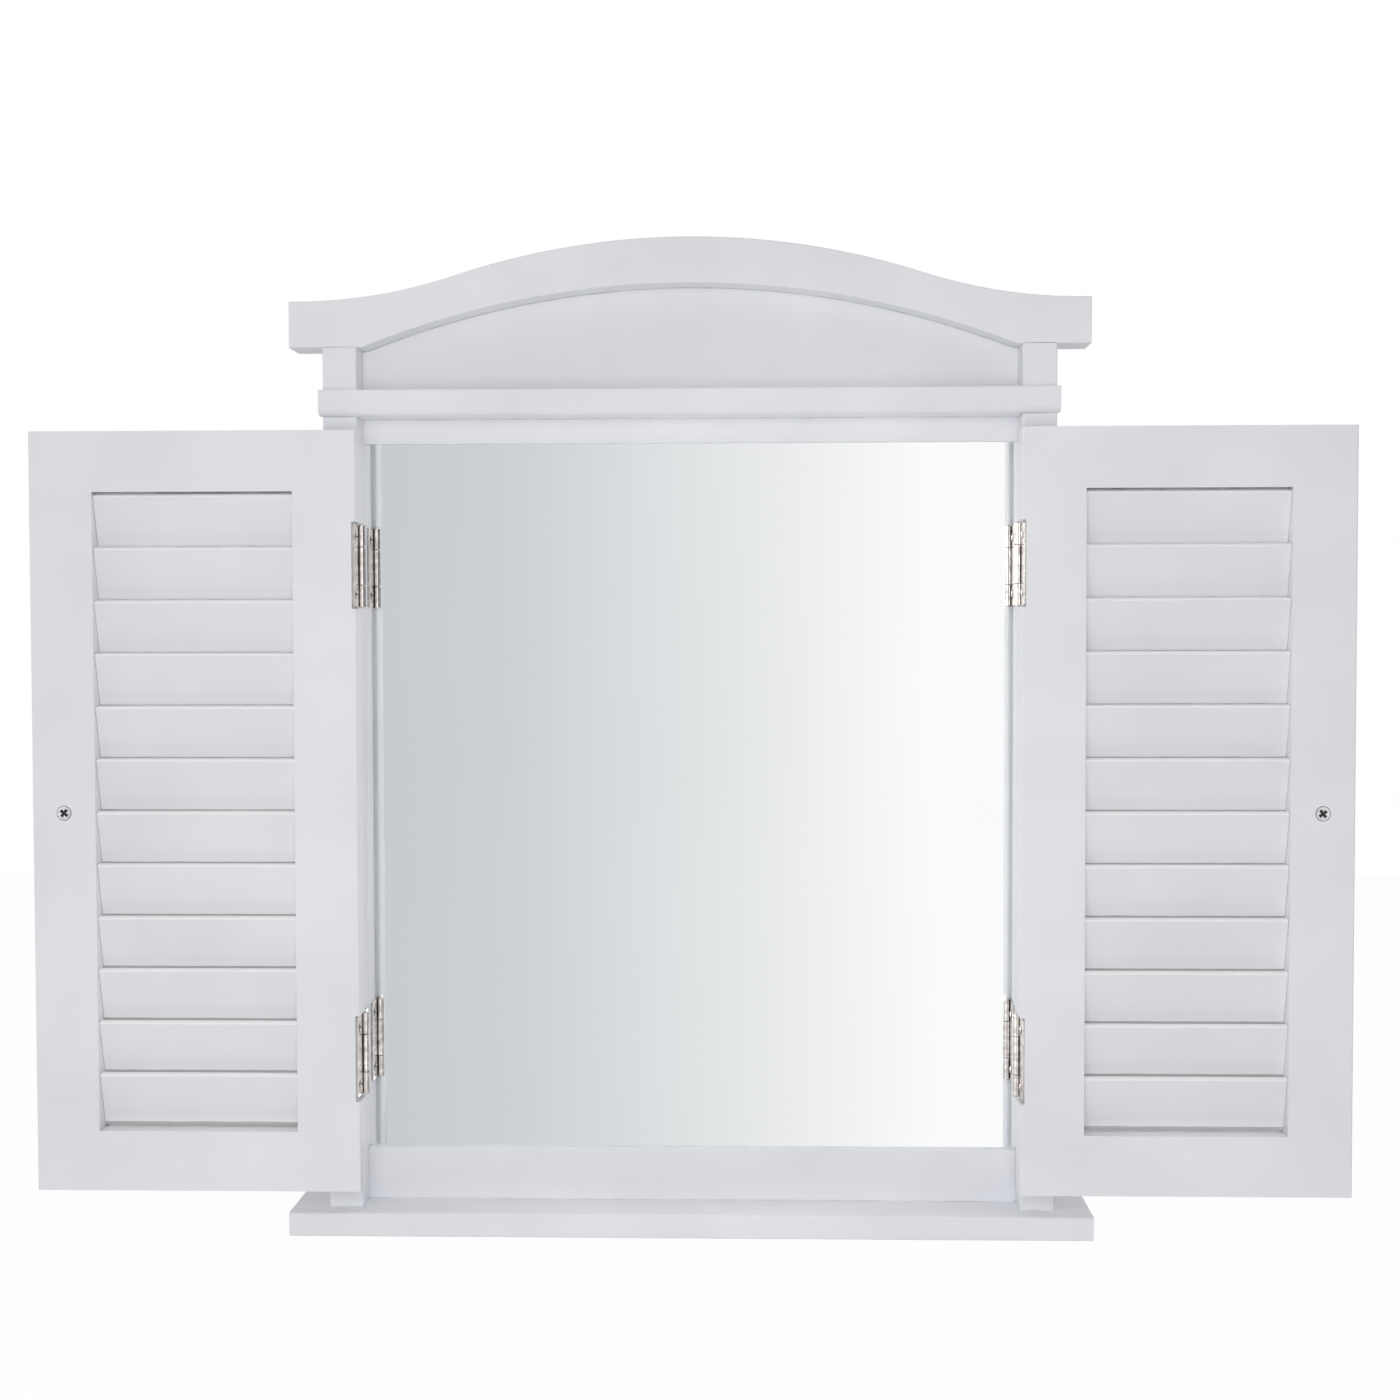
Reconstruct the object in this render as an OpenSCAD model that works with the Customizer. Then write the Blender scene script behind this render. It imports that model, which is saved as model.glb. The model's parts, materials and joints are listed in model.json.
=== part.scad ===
// Wall mirror under an arched hood, with a pair of louvred shutters on butt hinges.
// Lengths are millimetres. X runs to the viewer's right, Y into the wall and Z up.
// The wall plane is Y = 0, and the origin lies midway between the two keyhole hangers.
// It is drawn with both shutters folded open by half a turn, flat beside the glass.

/* [Shutters] */
// Width of one shutter
door_w = 171; // [140:1:220]
// Height of a shutter
door_h = 398; // [370:1:450]
// Thickness of a shutter
door_t = 16; // [15.5:0.5:20]
// Width of a shutter's stiles
stile_w = 33; // [30:0.5:40]
// Height of a shutter's top and bottom rails
door_rail_h = 31.5; // [26:0.5:40]
// Gap between the two closed shutters
centre_gap = 2; // [1.8:0.1:5]
// Gap between a closed shutter's edge and its post
hinge_gap = 2.4; // [2:0.1:3]
// Gap between the shutter and the front of the post behind it, when folded open
fold_gap = 2; // [1.4:0.1:4]
// Clear height below the shutters, down to the sill
foot_gap = 13; // [6:0.5:20]
// Clear height above the shutters, up to the moulding
head_gap = 8.5; // [4:0.5:16]
// Rounding of the shutters' outer edges
door_edge_r = 1; // [0.5:0.1:2]
// Length of the tenons on a shutter's rails
tenon_l = 22; // [12:0.5:24]
// Thickness of those tenons
tenon_t = 5; // [4:0.5:7]
// Height that each tenon is cut back at its top and bottom
tenon_shoulder = 6; // [4:0.5:9]

/* [Slats] */
// Number of slats in one shutter
slat_count = 12; // [8:1:12]
// Thickness of a slat
slat_t = 4; // [3:0.1:4.5]
// Lean of the slats from upright, in degrees
slat_tilt = 17; // [12:0.5:18]
// Height by which each slat covers the one above it
slat_lap = 2.3; // [1:0.1:4]
// Rounding of a slat's long edges
slat_edge_r = 1.2; // [0.5:0.1:1.4]
// Gap between the end slats and the rails
slat_end_gap = 0.6; // [0.3:0.1:1]
// Depth of the slanted grooves that hold the slats
groove_d = 4; // [3:0.5:7]

/* [Frame] */
// Width of a post, seen from the front
post_w = 18; // [17:0.5:26]
// Depth of a post, from the wall
post_d = 38; // [36:0.5:50]
// Height of the posts' necks between the moulding and the hood
neck_h = 22.8; // [12:0.1:40]
// Rounding of the posts' front edges
post_edge_r = 1; // [0.5:0.1:2]
// Gap between the back of the closed shutters and the rails
shut_gap = 1; // [0.4:0.1:2]
// Thickness of the rails and of the panel under the arch
rail_t = 9; // [7.5:0.5:9]
// Height of the bottom rail
bottom_rail_h = 28; // [20:0.5:40]
// Height by which the closed shutters cover the top rail
top_lap = 4.4; // [2:0.1:10]
// Depth of the housings in the posts for the rails and the panel
housing_d = 3; // [2:0.5:4]

/* [Glass] */
// Thickness of the rails' lip in front of the glass
lip_t = 3; // [2:0.5:4]
// Thickness of the mirror glass
glass_t = 3; // [2:0.5:3]
// Thickness of the backing board
backing_t = 3; // [2:0.5:3]
// Width of the rebate that the glass stands in
rebate_w = 5; // [4:0.5:5]
// Room between the glass and the rebate's wall
glass_gap = 0.5; // [0.3:0.1:1]
// Number of glazing points on each side
point_count = 4; // [2:1:6]
// Length of a glazing point
point_l = 11; // [9:0.5:12]
// Height of a glazing point
point_h = 5; // [3:0.5:8]
// Thickness of a glazing point
point_t = 0.6; // [0.4:0.1:1]

/* [Hood, moulding and sill] */
// Length by which the hood passes each post
hood_overhang = 17.7; // [8:0.1:30]
// Depth of the hood, from its front to its back
hood_d = 26; // [24:0.5:30]
// Height of the hood at its ends
hood_end_h = 24.2; // [20:0.1:34]
// Height of the hood at its crown, between its two curves
hood_mid_h = 24; // [20:0.1:34]
// Rise of the crown above the hood's ends
hood_rise = 32.4; // [20:0.1:45]
// Length of the level stretch of the hood's top at each end
hood_flat = 5; // [0:0.5:20]
// Share of the hood's top curve that is the round crown
crown_share = 0.6; // [0.4:0.05:0.75]
// Length of the level stretch under the hood beside each post
arch_flat = 3; // [1:0.5:8]
// Height of the moulding
moulding_h = 13.5; // [10:0.5:20]
// Length by which the moulding stands in front of the posts
moulding_proud = 7; // [4:0.5:12]
// Length by which the moulding passes each post
moulding_overhang = 1; // [0.5:0.1:4]
// Radius of the moulding's lower nose
nose_r = 4; // [2:0.5:6]
// Radius of the moulding's upper edge
moulding_edge_r = 1; // [0.5:0.1:2]
// Thickness of the sill
sill_t = 12.7; // [10:0.1:20]
// Length by which the sill passes each post
sill_overhang = 19; // [8:0.5:30]
// Length by which the sill stands in front of the posts
sill_proud = 12; // [6:0.5:20]
// Rounding of the sill's front edges
sill_edge_r = 1.5; // [0.5:0.1:3]

/* [Hinges] */
// Distance from a shutter's end to the middle of its hinge
hinge_inset = 70; // [60:1:100]
// Length of a hinge
hinge_l = 43; // [38:0.5:50]
// Width of a leaf, from the pin's axis
leaf_w = 14.5; // [13:0.1:15]
// Thickness of a leaf
leaf_t = 1; // [0.8:0.1:1.2]
// Rounding of a leaf's corners
leaf_corner_r = 1.2; // [0.5:0.1:2]
// Radius of the barrel
barrel_r = 2.1; // [1.8:0.05:2.1]
// Length of the middle knuckle, which belongs to the post's leaf
knuckle_l = 19.8; // [16:0.1:22]
// Gap between the knuckles
knuckle_gap = 0.3; // [0.25:0.05:0.5]
// Room between the barrel and the wood beside it
barrel_room = 0.3; // [0.25:0.05:0.5]
// Radius of the hinge pin
pin_r = 1; // [0.8:0.05:1.1]
// Running clearance between the pin and the middle knuckle, on the radius
pin_run = 0.05; // [0.03:0.01:0.09]
// Radius of the pin's riveted ends
pin_head_r = 1.5; // [1.3:0.05:1.7]
// Height of the pin's riveted ends
pin_head_h = 0.8; // [0.4:0.1:1.2]
// Distance of the hinge screws from the pin's axis
leaf_screw_in = 8.7; // [8:0.1:9]
// Distance between a leaf's two screws
leaf_screw_gap = 30; // [26:0.5:32]
// Radius of the hinge screws' shanks
leaf_screw_r = 1.2; // [1:0.1:1.3]
// Length of the hinge screws below their heads
leaf_screw_l = 12; // [8:0.5:13]
// Radius of the hinge screws' domed heads
leaf_head_r = 2.2; // [1.9:0.1:2.4]
// Height of the hinge screws' domed heads
leaf_head_h = 1; // [0.7:0.1:1]

/* [Knobs and screws] */
// Radius of a knob
knob_r = 11.5; // [9:0.5:13]
// Length of a knob
knob_l = 22; // [18:0.5:24]
// Radius of a knob's neck
knob_neck_r = 5.5; // [5:0.5:7]
// Radius of the collar at a knob's foot
knob_collar_r = 7.5; // [7:0.5:9]
// Thickness of that collar
knob_collar_t = 2; // [1:0.5:3]
// Radius of the knob screws and the sill screws
wood_screw_r = 2; // [1.5:0.1:2.2]
// Radius of their countersunk heads
wood_head_r = 4; // [3.2:0.1:4.2]
// Depth of a knob screw inside its knob
knob_screw_in = 14; // [10:0.5:15]
// Depth of a sill screw inside its post
sill_screw_in = 25; // [15:0.5:32]
// Radius of the dowels between the posts and the hood
dowel_r = 3; // [2.5:0.1:3]
// Depth of a dowel in the post, and in the hood
dowel_in = 12; // [8:0.5:14]

/* [Hangers] */
// Distance from a post's top down to its hanger's entry hole
hanger_drop = 38; // [34:0.5:60]
// Width of a hanger plate
hanger_w = 11; // [9.5:0.1:11]
// Height of a hanger plate
hanger_h = 40; // [36:0.5:46]
// Thickness of a hanger plate
hanger_t = 1.2; // [0.8:0.1:2]
// Radius of the entry hole, which passes the wall screw's head
keyhole_r = 3.5; // [3:0.1:3.7]
// Width of the slot, which holds the wall screw's shank
keyhole_slot_w = 3.6; // [3:0.1:4.2]
// Distance from the entry hole's centre to the slot's end centre
keyhole_rise = 8; // [6:0.5:9]
// Depth of the pocket behind the plate
pocket_d = 9; // [6:0.5:10]
// Distance between a hanger plate's two screws
hanger_screw_gap = 33; // [30:0.5:35]
// Radius of the hanger screws' shanks
hanger_screw_r = 1.2; // [1:0.1:1.3]
// Radius of the hanger screws' countersunk heads
hanger_head_r = 2.3; // [2:0.1:2.4]
// Length of the hanger screws
hanger_screw_l = 12; // [8:0.5:14]

/* [Hidden] */
// Clearance of glued and housed joints
joint_gap = 0.1;
// Clearance of slats, glazing points and screws in their seats
seat_gap = 0.02;
// Length by which a cutting tool passes the face it cuts
over = 1;
// Length by which the curves of the hood's top lap, and height by which they cross
curve_lap = 5;
curve_cross = 0.01;
// Width of a screw head's cross recess, as a share of the head's radius
recess_share = 0.24;

// Plan of the frame
opening_w = 2 * door_w + centre_gap + 2 * hinge_gap;
inner_x = opening_w / 2;
outer_x = inner_x + post_w;
post_mid_x = outer_x - post_w / 2;
front_y = -post_d;
rail_y = front_y + door_t + shut_gap;
glass_y = rail_y + lip_t;
backing_y = glass_y + glass_t;
backing_back_y = backing_y + backing_t;
rail_back_y = rail_y + rail_t;
hood_back_y = front_y + hood_d;

// Heights, from the hangers' entry holes
post_h = foot_gap + door_h + head_gap + moulding_h + neck_h;
post_top_z = hanger_drop;
deck_z = post_top_z - post_h;
sill_z = deck_z - sill_t;
door_z = deck_z + foot_gap;
moulding_z = door_z + door_h + head_gap;
bottom_rail_top_z = deck_z + bottom_rail_h;
top_rail_z = door_z + door_h - top_lap;
panel_z = moulding_z + moulding_h / 2;

// Hinge: the axis stands off the post by the barrel and its room
axis_in = barrel_r + barrel_room;
axis_x = -inner_x + axis_in;
axis_y = front_y - fold_gap / 2;
door_back_y = front_y - fold_gap;
door_edge_x = -inner_x + 2 * axis_in - hinge_gap;
notch_d = 2 * axis_in - hinge_gap;
notch_l = hinge_l + 2 * (pin_head_h + knuckle_gap);
side_knuckle_l = (hinge_l - knuckle_l) / 2 - knuckle_gap;
hinge_zs = [door_z + hinge_inset, door_z + door_h - hinge_inset];

// Louvre
louvre_w = door_w - 2 * stile_w;
louvre_h = door_h - 2 * door_rail_h;
slat_rise = (louvre_h - 2 * slat_end_gap - slat_lap) / slat_count + slat_lap;
slat_pitch = slat_rise - slat_lap;
slat_w = (slat_rise - slat_t * sin(slat_tilt)) / cos(slat_tilt);

// Hood curves: two tangent arcs above, one arc below
hood_half = outer_x + hood_overhang;
ogee_half = hood_half - hood_flat;
ogee_turn = 2 * atan(hood_rise / ogee_half);
ogee_r = ogee_half / sin(ogee_turn);
crown_r = ogee_r * crown_share;
shoulder_r = ogee_r - crown_r;
crown_x = crown_r * sin(ogee_turn);
shoulder_z = hood_end_h + shoulder_r * (1 - cos(ogee_turn));
arch_half = inner_x - arch_flat;
arch_rise = hood_end_h + hood_rise - hood_mid_h;
arch_r = (pow(arch_half, 2) + pow(arch_rise, 2)) / (2 * arch_rise);
arch_centre_z = arch_rise - arch_r;

// Hangers stand in the middle of the posts' back faces
hanger_x = outer_x - (post_w - rebate_w) / 2;
pocket_w = 2 * keyhole_r + 2;

// Colours
paint = "#e3e4e8";
paint_shade = "#dadce0";
nickel = "#a5a09c";
zinc = "#c9cacc";
steel = "#b4b6b8";
silvered = "#c3cbce";
hardboard = "#9a7450";
beech = "#cfa878";

SIDES = ["left", "right"];
DOOR_PIECES = ["hinge_stile", "free_stile", "door_top_rail", "door_bottom_rail",
               "knob", "knob_screw", "door_leaves", "hinge_pins", "door_leaf_screws"];
function two_digits(n) = str(n < 10 ? "0" : "", n);
function slat_name(side, i) = str(side, "_slat_", two_digits(i));
$fn = 48;

// ---- Helpers ----

// Draws its children on the left as they are, or mirrored on the right
module on_side(side) {
    if (side == "right") mirror([1, 0, 0]) children();
    else children();
}

// Flat outline with all four corners rounded, centred
module eased_plate(w, h, r) {
    square([w - 2 * r, h], center = true);
    square([w, h - 2 * r], center = true);
    for (x = [-1, 1]) for (y = [-1, 1])
        translate([x * (w / 2 - r), y * (h / 2 - r)]) circle(r);
}

// Flat outline from the corner, with the two corners at x = 0 rounded
module eased_edge(w, h, r) {
    translate([r, 0]) square([w - r, h]);
    translate([0, r]) square([w, h - 2 * r]);
    for (y = [r, h - r]) translate([r, y]) circle(r);
}

// What a rounded corner takes off, for a corner that points along +x and +y
module corner_waste(r) {
    difference() {
        square(r + over);
        circle(r);
    }
}

// Extrudes an outline drawn in (Y, Z) along X, from x = 0
module along_x(length) {
    rotate([90, 0, 90]) linear_extrude(length) children();
}

// Cross recess in a screw head whose top is at z = 0
module cross_recess(head_r) {
    for (turn = [0, 90]) rotate([0, 0, turn])
        cube([1.3 * head_r, recess_share * head_r, head_r / 2], center = true);
}

// Countersunk wood screw along -Z, its head's top at z = 0
module countersunk_screw(shank_r, head_r, length) {
    head_h = head_r - shank_r;
    tip_l = 1.5 * shank_r;
    difference() {
        union() {
            translate([0, 0, -head_h]) cylinder(r1 = shank_r, r2 = head_r, h = head_h);
            translate([0, 0, tip_l - length]) cylinder(r = shank_r, h = length - tip_l);
            translate([0, 0, -length]) cylinder(r1 = 0.3 * shank_r, r2 = shank_r, h = tip_l);
        }
        cross_recess(head_r);
    }
}

// The hole for such a screw
module countersunk_hole(shank_r, head_r, length) {
    head_h = head_r - shank_r;
    translate([0, 0, -head_h])
        cylinder(r1 = shank_r + seat_gap, r2 = head_r + seat_gap, h = head_h);
    cylinder(r = head_r + seat_gap, h = over);
    translate([0, 0, -length - seat_gap])
        cylinder(r = shank_r + seat_gap, h = length + seat_gap);
}

// Domed wood screw along -Z, the underside of its head at z = 0
module domed_screw(shank_r, head_r, head_h, length) {
    dome_r = (head_r * head_r + head_h * head_h) / (2 * head_h);
    tip_l = 1.5 * shank_r;
    difference() {
        union() {
            intersection() {
                translate([0, 0, head_h - dome_r]) sphere(dome_r);
                cylinder(r = head_r + over, h = head_h);
            }
            translate([0, 0, tip_l - length]) cylinder(r = shank_r, h = length - tip_l);
            translate([0, 0, -length]) cylinder(r1 = 0.3 * shank_r, r2 = shank_r, h = tip_l);
        }
        translate([0, 0, head_h]) cross_recess(0.8 * head_r);
    }
}

// ---- Frame ----

// Posts: the left one, from its outer face
module post() {
    color(paint) difference() {
        translate([-outer_x, front_y, deck_z]) linear_extrude(post_h)
            difference() {
                translate([post_w, 0]) rotate(90) eased_edge(post_d, post_w, post_edge_r);
                translate([post_w - rebate_w, glass_y - front_y])
                    square([rebate_w + over, post_d]);
            }
        // Housings for the bottom rail, and for the top rail and the panel above it
        for (span = [[deck_z, bottom_rail_h], [top_rail_z, post_top_z - top_rail_z]])
            translate([-inner_x - housing_d, rail_y, span[0] - joint_gap])
                cube([housing_d + over, rail_t, span[1] + 2 * joint_gap]);
        frame_screw_holes();
        for (y = dowel_ys()) translate([-post_mid_x, y, post_top_z - dowel_in])
            cylinder(r = dowel_r + seat_gap, h = dowel_in + over);
        for (y = sill_screw_ys()) translate([-post_mid_x, y, sill_z]) rotate([180, 0, 0])
            countersunk_hole(wood_screw_r, wood_head_r, sill_t + sill_screw_in);
        for (z = point_zs()) glazing_point(z, seat_gap);
        hanger_recess();
    }
}

// Holes in the left post for the hinge screws
module frame_screw_holes() {
    for (z = hinge_zs) for (s = [-1, 1])
        translate([-inner_x + leaf_t, axis_y + leaf_screw_in, z + s * leaf_screw_gap / 2])
            rotate([0, 90, 0]) translate([0, 0, -leaf_screw_l - seat_gap])
                cylinder(r = leaf_screw_r + seat_gap, h = leaf_screw_l + seat_gap + over);
}

function dowel_ys() = [front_y + hood_d * 0.25, front_y + hood_d * 0.7];
function sill_screw_ys() = [front_y + post_d * 0.25, front_y + post_d * 0.78];

module hood_dowels() {
    color(beech) for (x = [-post_mid_x, post_mid_x]) for (y = dowel_ys())
        translate([x, y, post_top_z - dowel_in]) cylinder(r = dowel_r, h = 2 * dowel_in);
}

// Outline of the hood, from the posts' top: an ogee above and an arch below.
// Neighbouring curves lap each other and cross, so that no edge is only touched.
module hood_outline() {
    crown_lap_x = crown_x + curve_lap;
    difference() {
        union() {
            intersection() {
                translate([0, hood_end_h + hood_rise - crown_r])
                    circle(crown_r + curve_cross, $fn = 360);
                translate([-crown_lap_x, 0])
                    square([2 * crown_lap_x, hood_end_h + hood_rise + over]);
            }
            for (side = SIDES) on_side(side) {
                translate([-hood_half, 0]) square([hood_flat + curve_lap, hood_end_h]);
                difference() {
                    translate([-ogee_half, 0])
                        square([ogee_half - crown_x, shoulder_z + over]);
                    translate([-ogee_half, hood_end_h + shoulder_r])
                        circle(shoulder_r + curve_cross, $fn = 360);
                }
            }
        }
        translate([0, arch_centre_z]) circle(arch_r, $fn = 360);
    }
}

module arched_hood() {
    color(paint) difference() {
        translate([0, hood_back_y, post_top_z]) rotate([90, 0, 0])
            linear_extrude(hood_d) hood_outline();
        for (x = [-post_mid_x, post_mid_x]) for (y = dowel_ys())
            translate([x, y, post_top_z - over])
                cylinder(r = dowel_r + seat_gap, h = dowel_in + over + seat_gap);
    }
}

// Panel that fills the arch, housed in the posts
module pediment_panel() {
    half_w = inner_x + housing_d - joint_gap;
    color(paint_shade) translate([0, rail_back_y, 0]) rotate([90, 0, 0])
        linear_extrude(rail_t) {
            translate([-half_w, panel_z])
                square([2 * half_w, post_top_z - joint_gap - panel_z]);
            intersection() {
                translate([0, post_top_z + arch_centre_z])
                    circle(arch_r - joint_gap, $fn = 360);
                translate([-arch_half, panel_z])
                    square([2 * arch_half, arch_rise + post_top_z - panel_z + over]);
            }
        }
}

// Moulding across the posts: its back fills the space between them
module cross_moulding() {
    depth = rail_y - front_y + moulding_proud;
    half_w = outer_x + moulding_overhang;
    color(paint) translate([0, 0, moulding_z]) difference() {
        translate([-half_w, front_y - moulding_proud, 0]) along_x(2 * half_w)
            difference() {
                square([depth, moulding_h]);
                translate([nose_r, nose_r]) mirror([1, 1]) corner_waste(nose_r);
                translate([moulding_edge_r, moulding_h - moulding_edge_r])
                    mirror([1, 0]) corner_waste(moulding_edge_r);
            }
        for (side = SIDES) on_side(side)
            translate([-half_w - over, front_y, -over])
                cube([half_w + over - inner_x + joint_gap, depth, moulding_h + 2 * over]);
    }
}

// Rail beside the glass: z is its lower edge, and the rebate is cut at the glass
module frame_rail(z, height, rebate_at_top) {
    half_w = inner_x + housing_d - joint_gap;
    rebate_z = rebate_at_top ? z + height - rebate_w : z - over;
    difference() {
        translate([-half_w, rail_y, z]) cube([2 * half_w, rail_t, height]);
        translate([-half_w - over, glass_y, rebate_z])
            cube([2 * (half_w + over), rail_t, rebate_w + over]);
    }
}

module top_rail() {
    color(paint_shade) frame_rail(top_rail_z, panel_z - top_rail_z, false);
}

module bottom_rail() {
    color(paint_shade) frame_rail(deck_z, bottom_rail_h, true);
}

module sill() {
    half_w = outer_x + sill_overhang;
    depth = post_d + sill_proud;
    color(paint) difference() {
        translate([-half_w, -depth, sill_z]) along_x(2 * half_w)
            eased_edge(depth, sill_t, sill_edge_r);
        for (x = [-post_mid_x, post_mid_x]) for (y = sill_screw_ys())
            translate([x, y, sill_z]) rotate([180, 0, 0])
                countersunk_hole(wood_screw_r, wood_head_r, sill_t + over);
    }
}

module sill_screws() {
    color(zinc) for (x = [-post_mid_x, post_mid_x]) for (y = sill_screw_ys())
        translate([x, y, sill_z]) rotate([180, 0, 0])
            countersunk_screw(wood_screw_r, wood_head_r, sill_t + sill_screw_in);
}

// ---- Glass ----

// Sheet in the rebate, with its front at y
module rebated_sheet(y, thickness) {
    half_w = inner_x + rebate_w - glass_gap;
    low_z = bottom_rail_top_z - rebate_w + glass_gap;
    high_z = top_rail_z + rebate_w - glass_gap;
    translate([-half_w, y, low_z]) cube([2 * half_w, thickness, high_z - low_z]);
}

module mirror_glass() {
    color(silvered) rebated_sheet(glass_y, glass_t);
}

module backing_board() {
    color(hardboard) rebated_sheet(backing_y, backing_t);
}

// Heights of the glazing points' middles, spread evenly up the backing board
function point_zs() = [for (i = [1:point_count])
    bottom_rail_top_z + (top_rail_z - bottom_rail_top_z) * (i - 0.5) / point_count];

// Flat steel point on the left, half in the post and half over the board
module glazing_point(z, gap) {
    in_post = point_l / 2;
    translate([-inner_x - rebate_w - in_post - gap, backing_back_y - gap,
               z - point_h / 2 - gap])
        cube([point_l + 2 * gap, point_t + 2 * gap, point_h + 2 * gap]);
}

module glazing_points() {
    color(steel) for (side = SIDES) on_side(side) for (z = point_zs()) glazing_point(z, 0);
}

// ---- Hangers ----

// Recess for a hanger plate in the left post, with the pocket and the screw holes
module hanger_recess() {
    translate([-hanger_x, 0, 0]) {
        translate([-hanger_w / 2 - joint_gap, -hanger_t, -hanger_h / 2 - joint_gap])
            cube([hanger_w + 2 * joint_gap, hanger_t + over, hanger_h + 2 * joint_gap]);
        translate([-pocket_w / 2, -hanger_t - pocket_d, -pocket_w / 2])
            cube([pocket_w, pocket_d + over, pocket_w + keyhole_rise]);
        for (s = [-1, 1]) hanger_screw_at(s)
            countersunk_hole(hanger_screw_r, hanger_head_r, hanger_screw_l);
    }
}

// Turns a screw's -Z towards the wood, at a hanger plate's lower or upper hole
module hanger_screw_at(s) {
    translate([0, 0, s * hanger_screw_gap / 2]) rotate([-90, 0, 0]) children();
}

module hanger_plate() {
    difference() {
        rotate([90, 0, 0]) linear_extrude(hanger_t) difference() {
            square([hanger_w, hanger_h], center = true);
            circle(keyhole_r);
            translate([-keyhole_slot_w / 2, 0]) square([keyhole_slot_w, keyhole_rise]);
            translate([0, keyhole_rise]) circle(keyhole_slot_w / 2);
        }
        for (s = [-1, 1]) hanger_screw_at(s)
            countersunk_hole(hanger_screw_r, hanger_head_r, hanger_screw_l);
    }
}

module hanger_plates() {
    color(steel) for (x = [-hanger_x, hanger_x]) translate([x, 0, 0]) hanger_plate();
}

module hanger_screws() {
    color(zinc) for (x = [-hanger_x, hanger_x]) for (s = [-1, 1]) translate([x, 0, 0])
        hanger_screw_at(s) countersunk_screw(hanger_screw_r, hanger_head_r, hanger_screw_l);
}

// ---- Hinges, drawn for the left side about the pin's axis ----

// Places children at both of the left hinges
module at_left_hinges() {
    for (z = hinge_zs) translate([axis_x, axis_y, z]) children();
}

// Plate of a leaf on the wood's face: towards is 1 for the post's and -1 for the shutter's
module leaf_plate(towards) {
    mid_y = towards * leaf_w / 2;
    difference() {
        translate([-axis_in, mid_y, 0]) rotate([90, 0, 90]) linear_extrude(leaf_t)
            eased_plate(leaf_w, hinge_l, leaf_corner_r);
        for (s = [-1, 1])
            translate([-axis_in - over, towards * leaf_screw_in, s * leaf_screw_gap / 2])
                rotate([0, 90, 0]) cylinder(r = leaf_screw_r + seat_gap, h = leaf_t + 2 * over);
    }
}

// Block that cuts a leaf back from the other leaf's knuckle, between heights low and high
module knuckle_room_cut(low, high) {
    side = 2 * (barrel_r + barrel_room);
    translate([-side / 2 - over, -side / 2, low]) cube([side + 2 * over, side, high - low]);
}

// The post's leaf carries the middle knuckle
module frame_leaf() {
    difference() {
        union() {
            difference() {
                leaf_plate(1);
                for (s = [-1, 1]) scale([1, 1, s])
                    knuckle_room_cut(knuckle_l / 2, hinge_l / 2 + over);
            }
            cylinder(r = barrel_r, h = knuckle_l, center = true);
        }
        cylinder(r = pin_r + pin_run, h = knuckle_l + 2 * over, center = true);
    }
}

// The shutter's leaf carries the two outer knuckles
module door_leaf() {
    difference() {
        union() {
            difference() {
                leaf_plate(-1);
                knuckle_room_cut(-knuckle_l / 2 - knuckle_gap, knuckle_l / 2 + knuckle_gap);
            }
            for (s = [-1, 1])
                translate([0, 0, s * (hinge_l - side_knuckle_l) / 2])
                    cylinder(r = barrel_r, h = side_knuckle_l, center = true);
        }
        cylinder(r = pin_r + seat_gap, h = hinge_l + 2 * over, center = true);
    }
}

// Pin with a low riveted dome at each end
module hinge_pin() {
    dome_r = (pow(pin_head_r, 2) + pow(pin_head_h, 2)) / (2 * pin_head_h);
    cylinder(r = pin_r, h = hinge_l, center = true);
    for (s = [0, 180]) rotate([s, 0, 0]) translate([0, 0, hinge_l / 2]) intersection() {
        translate([0, 0, pin_head_h - dome_r]) sphere(dome_r);
        cylinder(r = pin_head_r + over, h = pin_head_h);
    }
}

// Domed screws of a leaf: towards is 1 on the post and -1 on the shutter
module leaf_screws(towards) {
    color(nickel) at_left_hinges() for (s = [-1, 1])
        translate([-axis_in + leaf_t, towards * leaf_screw_in, s * leaf_screw_gap / 2])
            rotate([0, 90, 0])
                domed_screw(leaf_screw_r, leaf_head_r, leaf_head_h, leaf_screw_l);
}

// ---- Shutters, drawn for the left one ----
// A shutter's own frame: x from its hinge edge, y from its show face to its inner face,
// and z from its lower end.

// Places a shutter's own frame at rest, folded open beside the left post
module folded_open() {
    translate([door_edge_x, door_back_y, door_z]) rotate([0, 0, 180]) children();
}

// Section of slat i, across the shutter, larger by gap on each side
module slat_section(i, gap) {
    z = door_rail_h + slat_end_gap + slat_rise / 2 + (slat_count - i) * slat_pitch;
    translate([door_t / 2, z]) rotate(-slat_tilt)
        eased_plate(slat_t + 2 * gap, slat_w + 2 * gap, slat_edge_r);
}

// Slat i, counted from the top, between the bottoms of its two grooves
module slat_body(i, gap) {
    start = stile_w - groove_d + joint_gap - gap;
    translate([start, 0, 0]) along_x(door_w - 2 * start) slat_section(i, gap);
}

// Tenons' waste: a rail's tenon, larger by gap on each side
module tenon(gap) {
    translate([stile_w - tenon_l - gap, (door_t - tenon_t) / 2 - gap, tenon_shoulder - gap])
        cube([door_w - 2 * (stile_w - tenon_l - gap), tenon_t + 2 * gap,
              door_rail_h - 2 * (tenon_shoulder - gap)]);
}

// Places a rail's own frame at the shutter's lower or upper end
module at_door_rails() {
    for (z = [0, door_h - door_rail_h]) translate([0, 0, z]) children();
}

// What both stiles lose to the slats and the rails' tenons
module stile_waste() {
    for (i = [1:slat_count]) slat_body(i, joint_gap);
    at_door_rails() tenon(joint_gap);
}

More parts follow.
